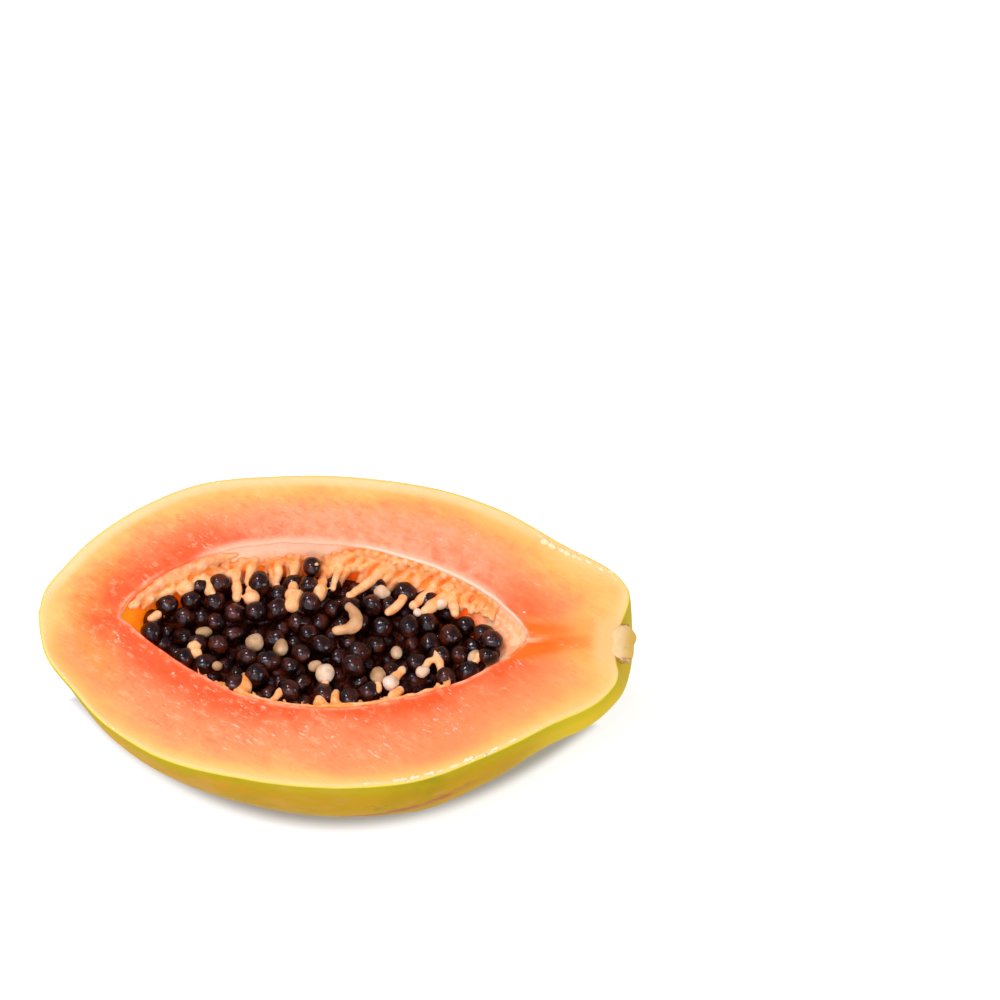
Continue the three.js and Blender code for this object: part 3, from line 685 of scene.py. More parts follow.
    # Painted highlights: short pale dashes where cut cell walls along the fibres catch the light,
    # in loose groups.
    glint_dash = look.noise(0.8, 2, 0.34, slant)
    group = look.plus(look.noise(10, 2), (y, -16, -32, -0.05, 0.06))
    glint_dash = look.times((glint_dash, 0.62, 0.70), (group, 0.50, 0.60), inside, 0.55)
    look.paint("ffd0bc", glint_dash)
    # Painted highlights: small pale dots, glints of the wet cut face.
    glint_dots = look.times((look.cells(5), 0.10, 0.06), inside)
    look.paint("ffdcc8", glint_dots, (look.noise(9, 2), 0.5, 0.56), 0.6)
    height = look.plus(look.noise(2.2, 5, 0.45, slant), glint_dash)
    return look.finish(height, 0.25, 0.7, soft_mm=4, soft_share=0.3)


def wall_look():
    look = Look("papaya_cavity_wall", Roughness=0.45, Specular_IOR_Level=0.25)
    x, _, z = look.axes()
    down = look.minus(CUT_LEVEL, z)
    # The smooth pale strip under the rim is deep in the middle and narrow elsewhere.
    open_part = look.times((x, -42, -36), (x, 4, -3))
    narrow = look.times(look.minus(1, open_part), 6.5)
    ragged = look.noise(4, 4, (1, 1, 0.35))
    level = look.plus(down, narrow, look.sway(ragged, 5))
    look.ground(look.math("DIVIDE", level, 20), [
        (0, "ffccae"), (0.2, "ffceb2"), (0.36, "ffb888"), (0.45, "ff7a10"), (0.8, "fb6206"),
    ])
    blush = look.band(look.noise(4, 3), 0.56, 0.68, 0, 0.75)
    look.paint("fb8a7c", blush, (down, 3, 5), (down, 9, 7))
    streak = look.band(look.noise(2, 3, 0.15), 0.40, 0.62, 0.55, 1)
    funnel = look.times((x, 40, 47), streak, (down, 14, 8))
    look.paint("fcca9e", funnel)
    look.paint("ff9414", (x, -50, -56), (down, 0.6, 2))
    # Painted light: an emission makes the pits and the strip glow a little, standing in for light
    # that comes through the flesh into these shaded places.
    pits = look.times((level, 7.5, 9.5), (down, 15, 11), look.minus(1, funnel))
    strip = look.times(open_part, (down, 0.3, 1.5), (level, 9, 6.5))
    glow = look.plus(look.times(pits, 0.36), look.times(strip, 0.13))
    look.glow(glow, look.blend(strip, "ff5c00", "ffac86"))
    return look.finish(look.noise(1.8, 4, (1, 1, 0.3)), 0.3, 0.7, soft_mm=4, soft_share=0.6)


def tissue_look():
    look = Look("papaya_placenta", Roughness=0.4, Specular_IOR_Level=0.3)
    x, y, z = look.axes()
    tone = look.noise(3, 5, rough=0.7)
    hollow = look.attribute("hollow")
    look.ground(tone, [(0.30, "e9842e"), (0.40, "ee9850"), (0.50, "f0a76c"), (0.66, "f0b282")])
    # Orange close to the wall and in slits: partly the tissue's own deeper colour, partly painted
    # shade. Pale on ridges: painted highlights.
    low = look.band(look.attribute("stand"), 1.3, -0.2, 0, 0.9)
    slit = look.band(hollow, 0.06, 0.32, 0, 0.9)
    look.paint("f87c14", look.most(low, slit))
    look.paint("f2bc90", (hollow, -0.15, -0.6, 0, 0.45))
    look.paint("ee8018", (y, -10, -18, 0, 0.5), (tone, 0.62, 0.45))
    # Where the heap meets the rim it has the colour of the flesh.
    rim = look.times((z, CUT_LEVEL - 1.9, CUT_LEVEL - 0.7), (x, -30, -38))
    look.paint("f88e5c", rim, (tone, 0.66, 0.44, 0.35, 0.9))
    look.paint("b48a62", look.attribute("scrap"))
    grain = look.plus(look.noise(0.8, 4), look.noise(2, 3))
    return look.finish(grain, 0.16, 0.7, soft_mm=1.2, soft_share=0.2)


def seed_look(name, gloss):
    look = Look(
        name, Roughness=0.25, Specular_IOR_Level=0.14, Specular_Tint=(0.8, 0.68, 1, 1),
        Coat_Weight=gloss, Coat_Roughness=0.06,
    )
    look.ground(look.noise(4, 3), [(0.36, "0c0100"), (0.50, "210600"), (0.66, "4a1a08")])
    wrinkle = look.plus(look.noise(1.1, 3), look.times(look.noise(2.4, 2), 1.6))
    return look.finish(wrinkle, 0.4)


def pale_seed_look(name, dark, middle, light):
    look = Look(name, Roughness=0.4, Specular_IOR_Level=0.25)
    fine = look.noise(1.2, 3)
    look.ground(look.noise(7, 2), [(0.36, dark), (0.5, middle), (0.66, light)])
    look.paint(dark, (fine, 0.5, 0.75, 0, 0.25))
    return look.finish(fine, 0.12, 0.6, soft_mm=1, soft_share=0.4)


def stem_look():
    look = Look("stem_stub", Roughness=0.5, Specular_IOR_Level=0.3)
    x, y, z = look.axes()
    tone = look.noise(3.2, 4)
    look.ground(tone, [(0.34, "c8a878"), (0.5, "d8b886"), (0.68, "e0c69a")])
    edge = look.plus(x, look.sway(tone, 7))
    look.paint("f0bc88", (edge, 89, 84.5))
    outside = look.band(z, CUT_LEVEL - 0.3, CUT_LEVEL - 3)
    look.paint("ad882f", (x, 88, 91), outside, 0.6)
    look.paint("b4902a", (edge, 88, 92.4), 0.85)
    # A few brown specks where the two sides meet the skin.
    sides = look.band(look.math("ABSOLUTE", y), 4.8, 6)
    specks = look.band(look.noise(1.5, 2), 0.46, 0.56)
    look.paint("96683c", sides, specks, (x, 86, 87.5), 0.85)
    return look.finish(tone, 0.2, 0.6, soft_mm=0.8, soft_share=0.25)


def bead_look():
    look = Look("rim_beads", Roughness=0.5, Specular_IOR_Level=0.15)
    look.ground(look.noise(3), [(0.35, "e0c890"), (0.65, "ecdcb8")])
    return look.finish(soft_mm=0.6, soft_share=0.4)


# ---- Seeds ----


def bed_level(x, y):
    far, near = float(reach(FAR, x)), float(reach(NEAR, x))
    across = min(1, max(0, (y + near) / max(1, far + near)))
    narrow = min(1, (far + near) / 30)
    hollow = BED_HOLLOW * math.exp(-((y / HOLLOW_WIDTH) ** 2)) * narrow
    return CUT_LEVEL - mix(BED_NEAR, BED_FAR * narrow, across**1.4) - hollow


def far_margin(x):
    least, more, middle, wide = FAR_MARGIN
    return least + more * math.exp(-(((x - middle) / wide) ** 2))


def keep_in_bed(seed):
    """Brings a seed back inside the cavity wall, towards the bed and below the cut face."""
    if seed["own"]:
        return
    half = SEED_WIDTH / 2
    x, y, z = seed["at"]
    x = min(STEM_TIP - half - STEM_MARGIN, max(BLOSSOM_TIP + half + BLOSSOM_MARGIN, x))
    z = mix(z, bed_level(x, y) + seed["lift"], SETTLE_SHARE)
    z = min(z, CUT_LEVEL - half * seed["scale"] - SEED_SUNK)
    far = float(wall_reach(FAR, x, z)) - half - far_margin(x)
    near = float(wall_reach(NEAR, x, z)) - half - WALL_GAP
    seed["at"] = [x, min(max(far, 0.5), max(min(-near, -0.5), y)), z]


def push_apart(seeds):
    """Pushes every two seeds that are too close apart. A seed with its own place stays."""
    for i, a in enumerate(seeds):
        for b in seeds[i + 1 :]:
            gap = [q - p for p, q in zip(a["at"], b["at"])]
            wanted = (a["scale"] + b["scale"]) / 2 * SEED_WIDTH * SEED_COAT
            distance = math.sqrt(gap[0] ** 2 + gap[1] ** 2 + gap[2] ** 2)
            if 0 < distance < wanted:
                missing = (wanted - distance) / distance
                back = 0 if a["own"] else missing if b["own"] else missing / 2
                on = 0 if b["own"] else missing - back
                a["at"] = [p - g * back for p, g in zip(a["at"], gap)]
                b["at"] = [q + g * on for q, g in zip(b["at"], gap)]


def seed_places():
    draw = seeded(20)
    seeds = []
    for x, y, lift, length, width, turn, look in OWN_SEEDS:
        scale = width / SEED_WIDTH
        seeds.append({
            "at": [x, y, min(bed_level(x, y) + lift, CUT_LEVEL - width / 2 - SEED_SUNK)],
            "own": True, "look": look, "scale": scale, "tilt": 0.2,
            "stretch": length / (SEED_LENGTH * scale), "turn": math.radians(turn),
        })
    for row in range(-6, 7):
        for column in range(-14, 15):
            draws = [draw(-1, 1) for _ in range(7)]
            x = (column + (0.5 if row % 2 else 0)) * SEED_PITCH + WIDEST
            y = row * (SEED_PITCH * math.sqrt(0.75)) + 0.8
            if min(math.hypot(x - own[0], y - own[1]) for own in OWN_SEEDS) < OWN_ROOM:
                continue
            if y > reach(FAR, x) - far_margin(x) - 2 or y < -reach(NEAR, x) + 2:
                continue
            x += draws[0] * SEED_JITTER * SEED_PITCH
            y += draws[1] * SEED_JITTER * SEED_PITCH
            lift = draws[2] * SEED_LIFT - (SMALL_SINK if draws[3] < SMALL_BELOW else 0)
            seeds.append({
                "at": [x, y, bed_level(x, y) + lift], "own": False, "look": "dark",
                "lift": lift, "scale": 1 + draws[3] * SEED_SPREAD, "turn": draws[4] * math.pi,
                "tilt": draws[5] * 0.8, "stretch": 1 + draws[6] * 0.06,
            })
    for _ in range(SETTLE_ROUNDS):
        push_apart(seeds)
        for seed in seeds:
            keep_in_bed(seed)
    return seeds


def egg(centre, length, width, turn, tilt, rings, sides, shape_seed):
    """An egg shape that is not quite regular, as points and faces."""
    place = Matrix.Rotation(turn, 3, "Z") @ Matrix.Rotation(tilt, 3, "Y")
    points, faces = [], []
    squash = 0.94 + 0.07 * math.sin(shape_seed * 7.1)
    for i in range(rings + 1):
        a = math.pi * i / rings
        for k in range(sides):
            b = 2 * math.pi * k / sides
            wide = width / 2 * math.sin(a) * (1 + 0.1 * math.cos(a))
            q = Vector((-length / 2 * math.cos(a), wide * math.cos(b), wide * math.sin(b) * squash))
            bulge = noise.noise(q / 2.4 + Vector((shape_seed, 0, 0))) * 0.3
            bulge += noise.noise(q / 0.9 + Vector((0, shape_seed, 0))) * 0.06
            q += q.normalized() * bulge
            points.append(place @ q + Vector(centre))
    for i in range(rings):
        for k in range(sides):
            n = (k + 1) % sides
            faces.append((i * sides + k, (i + 1) * sides + k, (i + 1) * sides + n, i * sides + n))
    return points, faces


def join_shapes(shapes):
    points, faces = [], []
    for p, f in shapes:
        start = len(points)
        points.extend(tuple(q) for q in p)
        faces.extend(tuple(i + start for i in face) for face in f)
    return points, faces


def seed_heap():
    looks = {
        "dark": ("seeds_top", seed_look("seed_dark", 0.5)),
        "pale": ("seeds_pale", pale_seed_look("seed_pale", "946a42", "b58e68", "cbae90")),
        "white": ("seeds_white", pale_seed_look("seed_white", "bc926a", "d4b496", "dec8b6")),
    }
    shapes = {look: [] for look in looks}
    for i, s in enumerate(seed_places()):
        width = SEED_WIDTH * s["scale"] * SEED_COAT
        length = SEED_LENGTH * s["scale"] * s["stretch"] * SEED_COAT
        shape = egg(s["at"], length, width, s["turn"], s["tilt"], 18, 26, i * 0.37)
        shapes[s["look"]].append(shape)
    for look, (name, material) in looks.items():
        add_object(name, *join_shapes(shapes[look]), [material], "seeds", "seed", weld=0.001)

    # A lower layer that shows between the top seeds.
    draw = seeded(77)
    below = []
    for row in range(-6, 7):
        for column in range(-11, 12):
            jitter = [draw(-1, 1) for _ in range(6)]
            x = (column + (0 if row % 2 else 0.5)) * LOWER_PITCH[0] + WIDEST + jitter[0]
            y = row * LOWER_PITCH[1] - 1 + jitter[1]
            if y > reach(FAR, x) - 6.5 or y < -reach(NEAR, x) + 4:
                continue
            place = (x, y, bed_level(x, y) - LOWER_DOWN + jitter[2])
            below.append(egg(place, *LOWER_SEED, jitter[3] * 3.1, jitter[4], 9, 14, 40 + x))
    deep = seed_look("seed_deep", 0.12)
    add_object("seeds_below", *join_shapes(below), [deep], "seeds", "seed", weld=0.001)

    # The heap is packed so closely under them that no light comes through.
    rows, columns = 60, 24
    block = []
    for x in np.linspace(BLOSSOM_TIP + PACKED_ENDS, STEM_TIP - PACKED_ENDS, rows):
        far, near = float(reach(FAR, x)) - 3, float(reach(NEAR, x)) - 1.5
        ys = np.linspace(-near, max(far, 1), columns)
        top = [(x, y, bed_level(x, y) - PACKED_DOWN) for y in ys]
        block += top + [(x, y, z - PACKED_THICK) for _, y, z in reversed(top)]
    wide = 2 * columns
    faces = grid_faces(rows, wide, closed=True)
    faces += [tuple(range(wide))[::-1], tuple(range(wide * (rows - 1), wide * rows))]
    add_object("seeds_packed", block, faces, [deep], "seeds", "seed")


# ---- The tissue that held the seeds ----


def tube(path, sides=10, steps=5):
    """A closed tube with round ends along a bent path of (x, y, z, radius)."""
    share = np.linspace(0, 1, steps * (len(path) - 1) + 1)
    line = curve(path, share)
    centre, radius = line[:, :3], np.maximum(0.2, line[:, 3])
    along = np.gradient(centre, axis=0)
    along /= np.linalg.norm(along, axis=1)[:, None]

    def ring(i, forward, size):
        side = np.cross(along[i], (0.3, 0.2, 1))
        side /= np.linalg.norm(side)
        up = np.cross(side, along[i])
        turns = 2 * np.pi * np.arange(sides) / sides
        flat = np.cos(turns)[:, None] * side + np.sin(turns)[:, None] * up
        return centre[i] + along[i] * forward * radius[i] + flat * radius[i] * size

    rings = [ring(0, -0.9, 0.45), ring(0, -0.6, 0.8)]
    rings += [ring(i, 0, 1) for i in range(len(centre))]
    rings += [ring(-1, 0.6, 0.8), ring(-1, 0.9, 0.45)]
    ends = [centre[0] - along[0] * radius[0]], [centre[-1] + along[-1] * radius[-1]]
    points = np.concatenate([*rings, *ends])
    faces = grid_faces(len(rings), sides, closed=True)
    first, last, base = len(points) - 2, len(points) - 1, (len(rings) - 1) * sides
    for k in range(sides):
        n = (k + 1) % sides
        faces += [(first, n, k), (last, base + k, base + n)]
    return points, faces


def below_cut(path):
    return [(x, y, CUT_LEVEL - down, r) for x, y, down, r in path]


def wall_place(side, x, down, out):
    sign = 1 if side is FAR else -1
    y = float(wall_reach(side, x, CUT_LEVEL - down)) - out
    return (x, sign * y, CUT_LEVEL - down)


# Ridges in the middle of the far wall, as x, top and end depth, how proud the end is, radius.
MIDDLE_RIDGES = [
    (-36.5, 5, 10.5, 1.4, 1.5), (-31.8, 6.6, 13, 1.6, 1.5), (-27.6, 6.8, 13, 1.6, 1.4),
    (-23.9, 8, 12, 0.6, 0.8), (-16.8, 7.2, 15, 1.8, 1.2), (-14.2, 7.6, 13, 1.2, 1.5),
    (-8.6, 7.4, 12, 0.6, 1), (-5.2, 6.8, 13, 1.8, 1.4), (-2.6, 4.6, 11, 1.6, 1.3),
]
# The lower edge of the pale strip, as x and depth: it sags where a ridge leaves it.
STRIP_EDGE = [
    (-37.5, 5.4), (-34.4, 7), (-31.8, 7.6), (-29.6, 6.6), (-27.4, 8), (-24.4, 9.4),
    (-20.6, 7.4), (-17.2, 8.6), (-15.6, 7.2), (-13.4, 8.2), (-10, 7.2), (-6, 8), (-2.6, 5.4),
]
# The two rows of blunt fingers on the right: top, end, how proud, distance apart, radius.
FINGER_ROWS = [(1.6, 7.6, 1.9, 3, 1.4), (4.4, 12, 4.2, 3.9, 1.65)]
# Lumps of the heap that follows the rim to the blossom end: x, y, depth and radius.
HEAP_LUMPS = [
    (-53.6, 12.9, 4.6, 2.3), (-48, 14.3, 4.8, 2.4), (-58.6, 8.2, 3.4, 1.7), (-62.2, 5.6, 2.2, 1.1),
    (-56.3, 3.2, 4, 1.6), (-43.4, 18.6, 5.6, 1.7), (-38.6, 21.2, 6.4, 1.6), (-35.2, 21.6, 7.6, 1.3),
]
# The smooth lobe of the heap just under the rim, and what fills the space below it.
HEAP_LOBE = [
    (-33, 26.6, 3.6, 0.8), (-36.5, 25.2, 2.8, 1.5), (-40.3, 23.4, 2.4, 2), (-44, 21.6, 2.7, 2.2),
    (-47.6, 19.6, 2.9, 2.4), (-52.7, 16.2, 2.8, 2.2), (-58.3, 11.2, 2.2, 1.7),
    (-63.4, 5.6, 1.6, 0.9),
]
HEAP_FILL = [
    (-38, 22.5, 7.2, 1.6), (-42.5, 19.5, 6.4, 1.9), (-47, 17, 6, 2.1), (-51.5, 14.8, 5.4, 2.1),
    (-56, 11.4, 4.4, 1.9), (-60, 8, 3.2, 1.4), (-63.5, 5, 2.2, 0.9),
]
HEAP_CRUMBS, FINGER_CRUMBS, FRINGE = 44, 16, 110
FUSE_VOXEL = 0.4  # the grid on which all the tissue is fused into one body


def wall_ridges():
    """Ridges and fingers on the far wall, with the pits between them, and crumbs."""
    draw = seeded(11)
    shapes = []

    def finger(x, top, end, lean, proud, thick):
        """Runs down the wall from top to end, ever more proud of it."""
        path = []
        for share, swell in ((0, 1.25), (0.3, 0.95), (0.65, 0.95), (1, 1.1)):
            down = mix(top, end, share)
            out = mix(-0.4, proud, share**1.3)
            size = thick * swell * draw(0.9, 1.1)
            shift = lean * share + 0.4 * (draw() - 0.5)
            path.append((*wall_place(FAR, x - shift, down, out), size))
        shapes.append(tube(path, 10, 4))

    def crumb(start, tail, size, taper, sides=8):
        tail = [a + b for a, b in zip(start, tail)]
        shapes.append(tube([(*start, size), (*tail, size * taper)], sides, 2))

    for x, top, end, proud, thick in MIDDLE_RIDGES:
        finger(x, top, end, 0, proud, thick)
    edge = [(*wall_place(FAR, x, down, 0), 0.8) for x, down in STRIP_EDGE]
    shapes.append(tube(edge, 8, 4))
    # Right of it: blunt fingers that lean towards the blossom end.
    for top, end, proud, pitch, thick in FINGER_ROWS:
        x = 1
        while x < STEM_TIP - 9:
            deep = float(reach(DEPTH, x))
            first = min(top + draw() + 2.2 * (1 - float(smooth(0, 9, x))), 0.25 * deep)
            last = min(end * draw(0.85, 1.2), 0.62 * deep)
            narrow = float(1 - 0.64 * smooth(24, 51, x))
            lean = narrow * draw(3.5, 8)
            out = narrow * proud * draw(0.6, 1.2)
            finger(x, first, last, lean, out, max(narrow, 0.6) * thick * draw(0.85, 1.15))
            x += narrow * pitch * draw(0.8, 1.35)
    # Left of it: a smooth swelling under the rim, with lumps below it.
    shapes.append(tube(below_cut(HEAP_LOBE), 14, 5))
    shapes.append(tube(below_cut(HEAP_FILL), 12, 5))
    for x, y, down, size in HEAP_LUMPS:
        start = (x + 0.3 * size, y + 0.3, CUT_LEVEL - down, size)
        end = (x - 0.3 * size, y - 0.3, CUT_LEVEL - down - 0.4, size * 0.92)
        shapes.append(tube([start, end], 12, 3))
    for _ in range(HEAP_CRUMBS):
        x = draw(-61, -37)
        deep = float(reach(DEPTH, x))
        down = min(draw(3.4, 7.5), 0.5 * deep)
        size = min(draw(0.5, 1.3, 1.4), 0.2 * deep + 0.3)
        start = wall_place(FAR, x, down, draw(0.2, 2.6))
        crumb(start, (-1.8 * draw(), -1.4 * draw(), -0.4 - draw()), size, 0.8)
    for _ in range(FINGER_CRUMBS):
        x = draw(0, STEM_TIP - 6)
        down = min(draw(1.4, 10, 1.2), 0.5 * float(reach(DEPTH, x)))
        size = draw(0.4, 0.8, 1.3)
        start = wall_place(FAR, x, down, draw(0.2, 2))
        if start[1] >= 2:
            crumb(start, (-2 * draw(), -1.2 * draw(), -1.2 * draw()), size, 0.7, 7)
    # A thin lip under the near rim, and a torn fringe along it.
    lip = []
    for x in np.arange(-27, 34, 2.5):
        lip.append((*wall_place(NEAR, float(x), 0.9, 0.5), draw(0.5, 0.95)))
    shapes.append(tube(lip, 8, 3))
    for _ in range(FRINGE):
        x = draw(-41, 36)
        down = draw(0.9, 4)
        size = draw(0.45, 1.1, 1.5)
        start = wall_place(NEAR, x, down, draw(-0.3, 0.8))
        crumb(start, (2.6 * (draw() - 0.5), 2.4 * draw(), -0.8 * draw()), size, 0.6)
    return shapes


def roughened(path, draw):
    """The same stalk with an uneven course and thickness."""
    rough = []
    for x, y, z, r in curve(path, np.linspace(0, 1, 3 * (len(path) - 1) + 1)):
        wobble = [0.35 * (draw() - 0.5) * r for _ in range(3)]
        rough.append((x + wobble[0], y + wobble[1], z + wobble[2], r * draw(0.9, 1.14)))
    return rough


def hollowness(points, normals, edges, rounds):
    """How far each point lies below the eased surface around it, in millimetres."""
    ends = np.concatenate([edges, edges[:, ::-1]])
    count = np.maximum(1, np.bincount(ends[:, 0], minlength=len(points)))[:, None]
    eased = points
    for _ in range(rounds):
        total = [np.bincount(ends[:, 0], eased[ends[:, 1], k], len(points)) for k in range(3)]
        eased = np.stack(total, -1) / count
    return ((eased - points) * normals).sum(1)


def tissue():
    draw = seeded(3)
    stalks = [roughened(below_cut(path), draw) for path in LONG_STALKS + LOOSE_SCRAPS]
    points, faces = join_shapes(wall_ridges() + [tube(path, 10, 3) for path in stalks])
    mesh = bpy.data.meshes.new("tissue_parts")
    mesh.from_pydata((np.array(points) * MM).tolist(), [], faces)
    parts = link("tissue_parts", mesh)
    fuse = parts.modifiers.new("fuse", "REMESH")
    fuse.mode = "VOXEL"
    fuse.voxel_size = FUSE_VOXEL * MM
    ease = parts.modifiers.new("ease", "SMOOTH")
    ease.factor, ease.iterations = 0.5, 3
    bpy.context.view_layer.update()
    graph = bpy.context.evaluated_depsgraph_get()
    fused = bpy.data.meshes.new_from_object(parts.evaluated_get(graph))
    bpy.data.objects.remove(parts)
    p, n = vertex_rows(fused, "co") / MM, vertex_rows(fused, "normal")
    fibre = lumps(p * [1, 0.6, 0.5], 1.5, 4.4) * 0.13 + lumps(p, 3.6, 9.1) * 0.32
    # The heap by the blossom end is rougher, with dimples.
    rough = 1 - smooth(-40, -34, p[:, 0])
    fibre += rough * (lumps(p, 2.6, 2.7) * 0.55 + lumps(p, 1.3, 8.3) * 0.22)
    p = p + n * fibre[:, None]
    p[:, 2] = np.minimum(p[:, 2], CUT_LEVEL - 0.25)
    faces = [tuple(f.vertices) for f in fused.polygons]
    edges = np.array([tuple(e.vertices) for e in fused.edges])
    bpy.data.meshes.remove(fused)
    obj = add_object("placenta", p, faces, [tissue_look()], "papaya_half", "flesh")
    # What the material reads: distance from the wall, hollows, and how dried up it is.
    far, near = (wall_reach(side, p[:, 0], p[:, 2]) for side in (FAR, NEAR))
    set_attribute(obj, "stand", np.where(p[:, 1] > 0, far - p[:, 1], near + p[:, 1]))
    set_attribute(obj, "hollow", hollowness(p, n, edges, 20))
    dry_line = curve(below_cut(LOOSE_SCRAPS[0]), np.linspace(0, 1, 12))[None, :, :2]
    away = np.min(np.linalg.norm(p[:, None, :2] - dry_line, axis=2), 1)
    fade = 0.35 + 0.65 * smooth(-1, 3.5, p[:, 0])
    set_attribute(obj, "scrap", 0.8 * (1 - smooth(1.8, 2.6, away)) * fade)


# ---- The stem and the rim ----

# The stub from its root in the flesh to its end: place along the fruit and radius.
STEM_PROFILE = [
    (79.8, 0.3), (81.6, 1.8), (84, 3.6), (86.3, 5.7), (88.4, 6.2), (90.1, 4.4), (91, 0.05),
]
# Worn lobes at the end of the stub: height, place across it and width.
STEM_LOBES = [(1.1, 2.2, 2.2), (-0.7, -1.2, 1.1), (0.9, -4.2, 1.7), (0.4, 5.8, 1)]
STEM_ROWS, STEM_SIDES, STEM_STEPS = 60, 61, 25


def stem():
    """Half of the stem's stub, with the worn swellings where it broke off."""
    line = curve(STEM_PROFILE, np.linspace(0, 1, STEM_ROWS))
    angle = np.linspace(0, np.pi, STEM_SIDES)
    x, radius = (line[:, k][:, None] + 0 * angle for k in (0, 1))
    across, down = radius * np.cos(angle), radius * np.sin(angle)
    shell = np.stack([x, across, CUT_LEVEL + 0.12 - down], -1).reshape(-1, 3)
    end = smooth(86, 90, shell[:, 0])
    out = shell - np.array([86, 0, CUT_LEVEL])
    out /= np.maximum(1e-6, np.linalg.norm(out, axis=1))[:, None]
    knobs = np.zeros(len(shell))
    for height, middle, width in STEM_LOBES:
        knobs += height * np.exp(-(((shell[:, 1] - middle) / width) ** 2))
    knobs = (knobs + lumps(shell, 2.2, 6.2) * 0.3) * end
    sideways = out * [0.8, 1, 1]
    sideways[:, 2] *= smooth(0, 1, CUT_LEVEL + 0.1 - shell[:, 2])
    shell = shell + sideways * knobs[:, None]
    # The cut side, as a grid between the two edges.
    near, far = shell[0::STEM_SIDES], shell[STEM_SIDES - 1 :: STEM_SIDES]
    shares = np.arange(STEM_STEPS) / (STEM_STEPS - 1)
    cut = np.array([[mix(a, b, s) for s in shares] for a, b in zip(near, far)]).reshape(-1, 3)
    inner = np.tile((shares > 0) & (shares < 1), STEM_ROWS)
    cut[:, 2] += np.where(inner, lumps(cut, 3, 1.1) * 0.15, 0)
    for part in (shell, cut):
        sunk = 0.55 * (1 - smooth(80.5, 86, part[:, 0]))
        part[:, 2] -= sunk * smooth(-1, 0, part[:, 2] - CUT_LEVEL)
    faces = grid_faces(STEM_ROWS, STEM_SIDES) + grid_faces(STEM_ROWS, STEM_STEPS, len(shell))
    points = np.concatenate([shell, cut])
    add_object("stem_stub", points, faces, [stem_look()], "stem", "stem", weld=0.002)


# Small drops: their edge and side, from and to as shares of its length, number and width.
SMALL_BEADS = [
    (FAR_LINE, 1, 0.635, 0.84, 20, 0.7), (NEAR_LINE, -1, 0.50, 0.66, 22, 0.8),
    (FAR_LINE, 1, 0.02, 0.2, 8, 0.8), (FAR_LINE, 1, 0.3, 0.62, 8, 0.7),
    (NEAR_LINE, -1, 0.05, 0.3, 8, 0.8),
]
# Large drops: their edge and side, the distance from it, and for each the place along the
# fruit, length and width.
LARGE_BEADS = [
    (FAR_LINE, 1, 1.2, [
        (62, 1.8, 0.9), (65.2, 4.4, 2.5), (70.2, 3.6, 2.2), (74, 3, 2), (77.4, 1.6, 1.1),
        (80.9, 2.6, 1.4),
    ]),
    (NEAR_LINE, -1, 0.9, [
        (13.6, 3.6, 0.9), (22.4, 3.4, 1.5), (26.8, 2.4, 1.5), (31, 2.8, 1.7), (33.8, 1.4, 0.9),
        (38.4, 2.6, 0.9), (42.8, 2.6, 1.6), (45.6, 2, 0.8), (50.2, 1.9, 1), (55.4, 2.2, 0.7),
    ]),
]


def edge_frame(along, side):
    """Along the edge and inward as flat unit vectors, and the turn that goes with them."""
    along = along / np.linalg.norm(along)
    return along, np.array([along[1], -along[0]]) * side, math.atan2(along[1], along[0])


def beads():
    """Dried drops of the fruit's milk just inside the cut edge of the skin."""
    draw = seeded(31)
    shapes = []
    for line, side, low, high, count, large in SMALL_BEADS:
        for _ in range(count):
            t = draw(low, high)
            here, onward = curve(line, np.array([t, t + 0.002])) * [1, side]
            _, inward, turn = edge_frame(onward - here, side)
            step = draw(0.5, 1.5, 1.6)
            size = draw(0.4, large, 1.4)
            place = (*(here + inward * step), CUT_LEVEL + 0.02)
            shapes.append(egg(place, size * draw(1, 2), size, turn, 0, 6, 10, step * 9))
    share = np.linspace(0.4, 0.95, 500)
    for edge, side, margin, drops in LARGE_BEADS:
        line = curve(edge, share) * [1, side]
        for x, length, wide in drops:
            i = int(np.argmin(np.abs(line[:, 0] - x)))
            along, inward, turn = edge_frame(line[i + 1] - line[i - 1], side)
            for part in (-0.3, 0.25):
                centre = line[i] + inward * (margin + wide * 0.5) + part * length * along
                place, width = (*centre, CUT_LEVEL - 0.1), wide * draw(0.7, 1)
                shapes.append(egg(place, length * 0.75, width, turn, 0, 10, 14, part + x))
    beads = join_shapes(shapes)
    add_object("rim_beads", *beads, [bead_look()], "papaya_half", "flesh", weld=0.001)


# ---- Camera, light and floor ----

ELEVATION, AZIMUTH, DISTANCE = math.radians(60), math.radians(3.5), 0.85
LENS, SENSOR = 100, 36
PHOTO_SIZE = 1000
SHOWN_AT = (337, 632)  # where the photo shows the middle of the cut face, in pixels
# Lights: name, place, size, power and colour.
LIGHTS = [
    ("key", (-0.36, 0.28, 1), 0.24, 5.4, (1, 1, 1)),
    ("glint", (-0.2, -0.35, 0.95), 0.3, 3.3, (0.92, 0.82, 1)),
    ("right", (0.75, -0.3, 0.5), 0.3, 2, (1, 1, 1)),
    ("front", (-0.15, -0.74, 0.72), 1.3, 8, (1, 1, 1)),
]
FLOOR = -0.00005  # just below the flat spot, so that the two do not share a plane
FLOOR_SIZE, FLOOR_COLOUR, FLOOR_GLOW = 4, "c4c4c4", 0.6
SHELTER_LENGTH, SHELTER_WIDTH, SHELTER_FADE = 81, 37, 6.5  # half sizes of the shade
SKY = 0.32


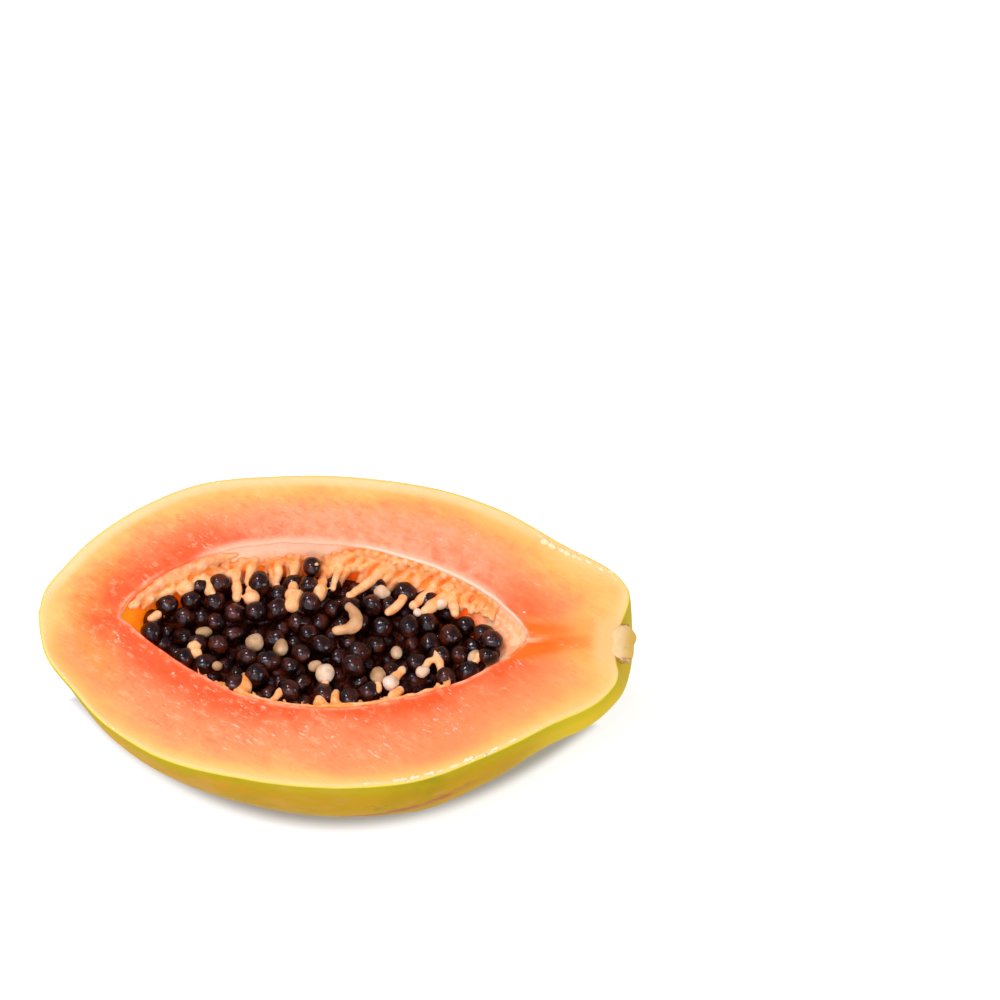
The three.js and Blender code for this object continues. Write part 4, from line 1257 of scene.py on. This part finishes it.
def camera():
    target = Vector(to_row([0, -1.5, CUT_LEVEL]))
    flat = math.cos(ELEVATION)
    back = Vector((math.sin(AZIMUTH) * flat, -math.cos(AZIMUTH) * flat, math.sin(ELEVATION)))
    side = Vector((0, 0, 1)).cross(back).normalized()
    look = Matrix((side, back.cross(side), back)).transposed()
    focal = LENS / SENSOR * PHOTO_SIZE
    right, down = (at - PHOTO_SIZE / 2 for at in SHOWN_AT)
    ray = Vector((right / focal, -down / focal, -1)).normalized()
    turn = ray.rotation_difference(Vector((0, 0, -1))).to_matrix()
    data = bpy.data.cameras.new("camera")
    data.lens, data.sensor_width, data.clip_start = LENS, SENSOR, 0.01
    obj = link("camera", data)
    obj.matrix_world = Matrix.Translation(target + back * DISTANCE) @ (look @ turn).to_4x4()
    bpy.context.scene.camera = obj


def studio():
    world = bpy.data.worlds.new("studio")
    bpy.context.scene.world = world
    world.use_nodes = True
    sky = world.node_tree.nodes["Background"]
    sky.inputs["Color"].default_value = (1, 1, 1, 1)
    sky.inputs["Strength"].default_value = SKY
    for name, place, size, power, colour in LIGHTS:
        data = bpy.data.lights.new(name, "AREA")
        data.shape, data.size, data.energy, data.color = "SQUARE", size, power, colour
        obj = link(name, data)
        obj.location = place
        aim = Vector((0, 0, 0.05)) - Vector(place)
        obj.rotation_euler = aim.to_track_quat("-Z", "Y").to_euler()
    bpy.context.scene.view_settings.view_transform = "Standard"


def floor():
    look = Look("floor", Roughness=0.9, Specular_IOR_Level=0)
    # The glow stands for light from all round, which does not get in under the fruit.
    x, y, _ = look.axes()
    sheltered = look.plus(SHELTER_WIDTH, look.times(x, x, -SHELTER_WIDTH / SHELTER_LENGTH**2))
    outside = look.minus(look.math("ABSOLUTE", y), sheltered)
    look.glow(look.band(outside, 0, SHELTER_FADE, 0, FLOOR_GLOW), (1, 1, 1, 1))
    look.base = FLOOR_COLOUR
    mesh = bpy.data.meshes.new("floor")
    corners = [(-1, -1), (1, -1), (1, 1), (-1, 1)]
    corners = [(FLOOR_SIZE * a, FLOOR_SIZE * b, FLOOR) for a, b in corners]
    mesh.from_pydata(corners, [], [(0, 1, 2, 3)])
    mesh.materials.append(look.finish())
    link("floor", mesh)


# ---- Build ----

fruit_body()
tissue()
seed_heap()
stem()
beads()
camera()
studio()
floor()
